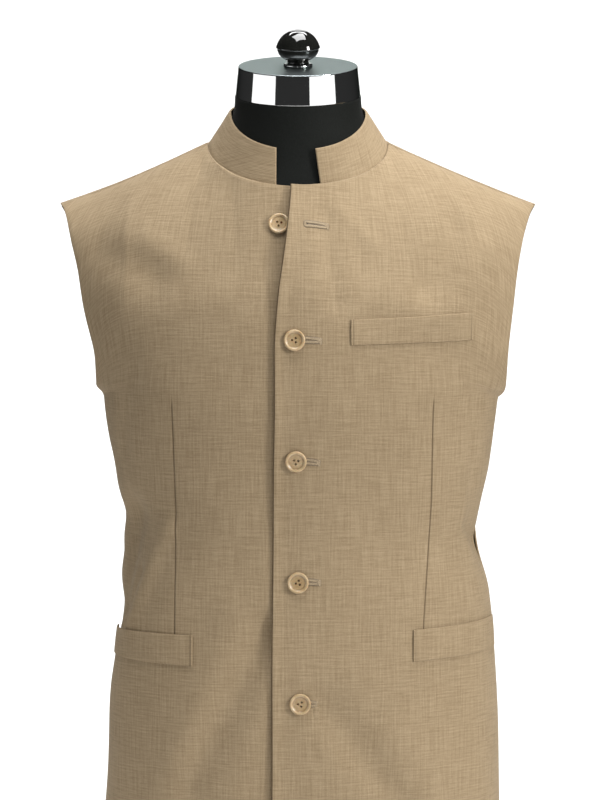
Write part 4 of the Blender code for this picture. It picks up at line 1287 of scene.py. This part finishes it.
def form_half(kind, neck_share):
    """The garment's surface, moved in by a clearance that depends on the level."""
    to_neck = np.linspace(0, neck_share, FORM_NECK_STEPS + 1)
    line = np.concatenate([to_neck, np.linspace(neck_share, 1, FORM_SHOULDER_STEPS + 1)[1:]])
    low = np.linspace(0, ARMHOLE_LEVEL, FORM_ROWS[0])
    high = np.linspace(ARMHOLE_LEVEL, TOP_LEVEL, FORM_ROWS[1])
    rows = np.concatenate([low, high[1:]])
    grid = block(kind, np.tile(line, (len(rows), 1)), rows)
    normal = grid_normals(grid, -1 if kind.startswith("back") else 1)
    normal[:, 0, 0] = 0
    normal[rows < SIDE_SEAM_TOP + 0.01, -1, 1] = 0
    normal[-1, line >= neck_share] = shoulder_normal()
    normal /= np.linalg.norm(normal, axis=2, keepdims=True)
    inside = np.interp(rows, np.arange(len(FORM_CLEARANCE)), FORM_CLEARANCE)
    grid = grid - normal * inside[:, None, None]
    neck = slice(0, FORM_NECK_STEPS + 1)
    grid[-1, neck, :2] *= 1 - FORM_NECK_INSET / NECK_SIDE[0]
    grid[-1, neck, 2] -= FORM_NECK_DROP * np.cos(np.linspace(0, math.pi / 2, FORM_NECK_STEPS + 1))
    return grid


def torso_rings():
    """Half rings from foot to shoulder: front, a slightly bulging arm plate, back."""
    front, back = form_half("form", NECK_SHARE["front"]), form_half("back form", NECK_SHARE["back"])
    part = np.linspace(0, 1, PLATE_STEPS)[1:-1][None, :, None]
    plate = front[:, -1:] + (back[:, -1:] - front[:, -1:]) * part
    spread = np.linalg.norm(back[:, -1] - front[:, -1], axis=1)
    plate[..., 0] += FORM_ARM_BULGE * 4 * (part * (1 - part))[..., 0] * (spread / spread.max())[:, None]
    torso = np.concatenate([front, plate, back[:, ::-1]], axis=1)
    foot = []
    for height, inset in FORM_FOOT:
        ring = torso[0].copy()
        ring[:, :2] *= 1 - inset / NECK_SIDE[0]
        ring[:, 2] = height
        foot.append(ring)
    return np.concatenate([np.array(foot), torso])


def neck_rings(torso):
    """Half rings from the neckline to the cap: they draw in fast at first, then run up straight."""
    neck = FORM_NECK_STEPS + 1
    seam = np.concatenate([torso[-1, :neck], torso[-1, ::-1][:neck][::-1][1:]])
    half = np.linspace(0, math.pi / 2, neck)
    turn = np.concatenate([half, half[1:] + math.pi / 2])
    size = np.array([NECK_HALF_WIDTH, -NECK_HALF_DEPTH, -SEAM_GAP])
    column = size * np.stack([np.sin(turn), np.cos(turn), np.ones_like(turn)], axis=1) @ TILT.T + CAP_CENTRE
    rise = np.linspace(0, 1, NECK_ROWS)[:, None, None]
    rings = seam + (column - seam) * rise
    rings[..., :2] = seam[:, :2] + (column - seam)[:, :2] * (1 - (1 - rise) ** NECK_FLARE)
    return rings


def whole_rings(half):
    """Whole rings of right halves that begin and end on the middle line."""
    return np.concatenate([half, half[:, -2:0:-1] * (-1, 1, 1)], axis=1)


def form():
    """Torso and neck as one closed body; the doubled points on the shoulder seam are merged."""
    torso = torso_rings()
    parts = [whole_rings(torso), whole_rings(neck_rings(torso))]
    points, faces, start = [], [], 0
    for rings in parts:
        rows, columns = rings.shape[:2]
        index = np.arange(rows * columns).reshape(rows, columns) + start
        side = np.roll(index, -1, axis=1)
        faces += np.stack([index[:-1], side[:-1], side[1:], index[1:]], axis=-1).reshape(-1, 4).tolist()
        faces.append(index[0, ::-1].tolist() if start == 0 else index[-1].tolist())
        points.append(rings.reshape(-1, 3))
        start += rows * columns
    made = put_loose("jersey_torso", np.concatenate(points), faces, JERSEY, "form_torso")
    body = bmesh.new()
    body.from_mesh(made.data)
    bmesh.ops.remove_doubles(body, verts=body.verts, dist=MERGE)
    bmesh.ops.dissolve_degenerate(body, edges=body.edges, dist=SLIVER)
    bmesh.ops.recalc_face_normals(body, faces=body.faces)
    open_edges = sum(not edge.is_manifold for edge in body.edges)
    body.to_mesh(made.data)
    body.free()
    made.data.shade_smooth()
    print("torso faces:", len(made.data.polygons), "open edges:", open_edges)


form()

# %% [markdown]
# ## Metal cap, lacquered knob and stand
#
# The cap is spun steel with a chrome plate: a short tapered band with a flat, finely brushed lid. A
# black lacquered knob screws into it over a small chrome washer. Post and base are turned steel. All
# are lathe shapes, and the mirror finish lives from what it reflects: bright panels and dark gaps.

# %% Chrome and lacquer
CHROME_EDGE = (0.30, 0.33, 0.31)
LID_DARK = (0.16, 0.185, 0.19)
LID_LIGHT = (0.46, 0.50, 0.515)
LID_TOP = (0.0282, 0.0286)


def brushed_lid(tree, place, plate):
    """Fine circles about the cap's axis on its flat lid: (colour, roughness, bump height). The noise runs
    over the radius, the root of x^2 + y^2 on axes that are tilted with the cap."""
    tilt = {"Location": tuple(CAP_CENTRE), "Rotation": (CAP_TILT, 0, 0), "Vector": place}
    x, y, z = tree.split(tree.add("Mapping", "Vector", tilt, vector_type="TEXTURE"))
    radius = tree.math("SQRT", tree.sum(tree.math("POWER", x, 2.0), tree.math("POWER", y, 2.0)))
    line = tree.add("CombineXYZ", "Vector", {"X": radius})
    circles = tree.noise(line, 1.0, 3.0, 0.6, (1600, 1, 1))
    top = tree.range(z, *LID_TOP)
    colour = tree.mix(top, plate, tree.mix(circles, LID_DARK, LID_LIGHT))
    rough = tree.math("ADD", tree.math("MULTIPLY", top, 0.24), 0.045)
    return colour, rough, tree.math("MULTIPLY", circles, top)


def chrome(name, rings):
    """Bright plate, kept from being flat by a noise, with a brushed lid where rings is true."""
    tree = new_tree(name)
    place = tree.place()
    smear = tree.noise(place, 35.0, 3.0, 0.55)
    plate = tree.mix(smear, (0.72, 0.735, 0.74), (0.86, 0.865, 0.86))
    if rings:
        plate, rough, height = brushed_lid(tree, place, plate)
        normal = tree.bump(height, 0.00012, 0.3)
    else:
        rough, normal = tree.range(smear, 0.3, 0.7, 0.07, 0.16), tree.bump(smear, 0.0002, 0.03)
    return tree.finish({
        "Metallic": 1.0,
        "Specular Tint": CHROME_EDGE,
        "Base Color": plate,
        "Roughness": rough,
        "Normal": normal,
    })


def lacquer():
    """Gloss black with the faint waves of a brushed coat."""
    tree = new_tree("lacquer")
    waves = tree.noise(tree.place(), 90.0)
    return tree.finish({
        "Base Color": tree.mix(waves, (0.004, 0.0045, 0.004), (0.012, 0.012, 0.010)),
        "Roughness": tree.range(waves, 0.3, 0.7, 0.05, 0.11),
        "Coat Weight": 0.6,
        "Coat Roughness": 0.04,
        "Normal": tree.bump(waves, 0.0002, 0.05),
    })


CAP_CHROME = chrome("cap_chrome", True)
STAND_CHROME = chrome("stand_chrome", False)
LACQUER = lacquer()
print("made", CAP_CHROME.name, STAND_CHROME.name, LACQUER.name)

# %% Turned parts
CAP_PROFILE = (
    (0.0, 0.0288), (0.0549, 0.0286), (0.0559, 0.0287), (0.0567, 0.0289), (0.0573, 0.0286),
    (0.0576, 0.0278), (0.0604, 0.0003), (0.0602, 0.0), (0.0, 0.0),
)
RING_PROFILE = ((0.0, 0.0317), (0.0128, 0.0317), (0.0140, 0.0306), (0.0140, 0.0291), (0.0, 0.0291))
KNOB_PROFILE = (
    (0.0, 0.0648), (0.0080, 0.0634), (0.0148, 0.0591), (0.0192, 0.0532), (0.0213, 0.0476), (0.0214, 0.0467),
    (0.0204, 0.0461), (0.0199, 0.0424), (0.0168, 0.0378), (0.0118, 0.0346), (0.0104, 0.0331),
    (0.0108, 0.0320), (0.0, 0.0320),
)
POST_PROFILE = (
    (0.0, 0.1217), (0.0140, 0.1217), (0.0140, 0.0205), (0.0155, 0.0180), (0.0460, 0.0140),
    (0.0475, 0.0128), (0.0475, 0.0103), (0.0, 0.0103),
)
BASE_PROFILE = (
    (0.0, 0.0100), (0.1470, 0.0100), (0.1491, 0.0091), (0.1500, 0.0070), (0.1500, 0.0), (0.0, 0.0),
)


def softened(profile, radius, steps=5):
    """Each corner of a profile becomes a small curve: a quadratic Bezier between points near it."""
    p = np.array(profile, float)
    line = [p[:1]]
    for before, corner, after in zip(p[:-2], p[1:-1], p[2:]):
        back, on = before - corner, after - corner
        a = corner + back * min(0.42, radius / np.linalg.norm(back))
        b = corner + on * min(0.42, radius / np.linalg.norm(on))
        t = np.linspace(0, 1, steps)[:, None]
        line.append((1 - t) ** 2 * a + 2 * t * (1 - t) * corner + t**2 * b)
    return np.concatenate(line + [p[-1:]])


def turned(name, profile, sides, finish, slot, node, tilted=True, soften=0.0006):
    """A softened profile taken round its axis, tilted with the cap where it sits on it."""
    points, faces = lathe(softened(profile, soften), sides)
    if tilted:
        points = points @ TILT.T + CAP_CENTRE
    made = put_loose(name, points, faces, finish, node)
    print(name, "faces:", len(made.data.polygons))


turned("spun_cap", CAP_PROFILE, 192, CAP_CHROME, "chrome", "neck_cap", True, 0.0005)
turned("knob_washer", RING_PROFILE, 96, STAND_CHROME, "chrome", "knob_ring")
turned("turned_knob", KNOB_PROFILE, 128, LACQUER, "knob", "knob", True, 0.0030)
turned("stand_post", POST_PROFILE, 96, STAND_CHROME, "chrome", "post", False)
turned("stand_base", BASE_PROFILE, 192, STAND_CHROME, "chrome", "base", False, 0.0010)

# %% [markdown]
# ## Studio
#
# Catalogue pictures of clothes are taken in a white studio: a pale floor runs up into a pale wall
# without a corner. A small strong panel at the front right is the key: it shades the left half and
# casts part of the dark line beside the front edge; painted shade on the turned edge makes the rest.
# Two wide weak panels stand low on both sides, mostly for the chrome band, which shows them as two
# bright stripes with a dark gap between them. One panel hangs above the shoulders, and one lights
# the wall.

# %% Floor and backdrop
FLOOR_FRONT = -2.4
BEND_START = 1.6
SWEEP_BEND = 0.9
WALL_TOP = 4.2
SWEEP_HALF = 0.8


def studio_white():
    """Matt white with a trace of uneven paint."""
    tree = new_tree("studio_white")
    uneven = tree.noise(tree.place(), 2.0)
    return tree.finish({"Base Color": tree.mix(uneven, (0.90,) * 3, (0.94,) * 3), "Roughness": 0.9})


def sweep():
    """A floor that turns up into a wall along a quarter circle, as one strip."""
    turn = np.linspace(0, math.pi / 2, 24)
    bend = np.array([BEND_START, SWEEP_BEND]) + SWEEP_BEND * np.stack([np.sin(turn), -np.cos(turn)], axis=1)
    line = np.concatenate([[[FLOOR_FRONT, 0.0]], bend, [[BEND_START + SWEEP_BEND, WALL_TOP]]])
    grid = np.empty((2, len(line), 3))
    grid[..., 0] = np.array([[-SWEEP_HALF], [SWEEP_HALF]])
    grid[..., 1:] = line
    made = put_mesh("studio_sweep", grid.reshape(-1, 3), grid_quads(2, len(line), True), studio_white())
    return made


floor = sweep()
print("studio sweep faces:", len(floor.data.polygons))


# %% Lights
def aim_turn(aim):
    """Turn that points an object's -Z along aim and keeps its top up: spherical angles of the aim."""
    x, y, z = aim / np.linalg.norm(aim)
    return (math.acos(-z), 0.0, math.atan2(y, x) - math.pi / 2)


def soft_panel(name, place, target, size, power, colour=(1, 1, 1)):
    """A rectangular light that faces a point."""
    data = bpy.data.lights.new(name, "AREA")
    data.shape = "RECTANGLE"
    data.size, data.size_y = size
    data.energy = power
    data.color = colour
    light = bpy.data.objects.new(name, data)
    light.location = place
    light.rotation_euler = aim_turn(np.array(target) - np.array(place))
    light.visible_camera = False
    bpy.context.scene.collection.objects.link(light)


soft_panel("key panel", (2.25, -1.55, 1.60), (0, 0, 0.60), (0.55, 0.9), 60, (1.0, 0.985, 0.96))
soft_panel("right panel", (1.45, -1.35, 0.65), (0, 0, 0.7), (1.9, 1.1), 10)
soft_panel("left panel", (-1.85, -0.75, 0.65), (0, 0, 0.7), (1.9, 1.1), 9)
soft_panel("top panel", (0.15, -0.3, 2.5), (0, 0.0, 0.8), (1.4, 1.2), 53)
soft_panel("wall panel", (0.0, 1.1, 3.0), (0, 2.5, 0.9), (2.0, 0.8), 62)

# %% World and camera
WORLD_GREY = 0.10
WORLD_DARK = 0.03
CAMERA_PLACE = (0.0019, -4.628, 0.98999)
CAMERA_PITCH = math.radians(85.0)
FOCAL_PIXELS = 4788.0
IMAGE_LONG_SIDE = 800
SENSOR = 36.0


def studio_world():
    """Soft grey light from all round, pale where the camera looks past the set, dark in reflections."""
    made = bpy.data.worlds.new("studio")
    tree = Tree(made)
    glossy, seen = (tree.add("LightPath", output) for output in ("Is Glossy Ray", "Is Camera Ray"))
    grey = tree.mix(glossy, (WORLD_GREY,) * 3, (WORLD_DARK,) * 3)
    tree.feed(tree.nodes["Background"], {"Color": tree.mix(seen, grey, (1.0,) * 3)})
    bpy.context.scene.world = made


studio_world()
bpy.context.scene.view_settings.view_transform = "Standard"
camera_data = bpy.data.cameras.new("camera")
camera_data.sensor_width = SENSOR
camera_data.lens = SENSOR * FOCAL_PIXELS / IMAGE_LONG_SIDE
camera = bpy.data.objects.new("camera", camera_data)
camera.location = CAMERA_PLACE
camera.rotation_euler = (CAMERA_PITCH, 0.0, 0.0)
bpy.context.scene.collection.objects.link(camera)
bpy.context.scene.camera = camera
print("lens in mm:", round(camera_data.lens, 1))
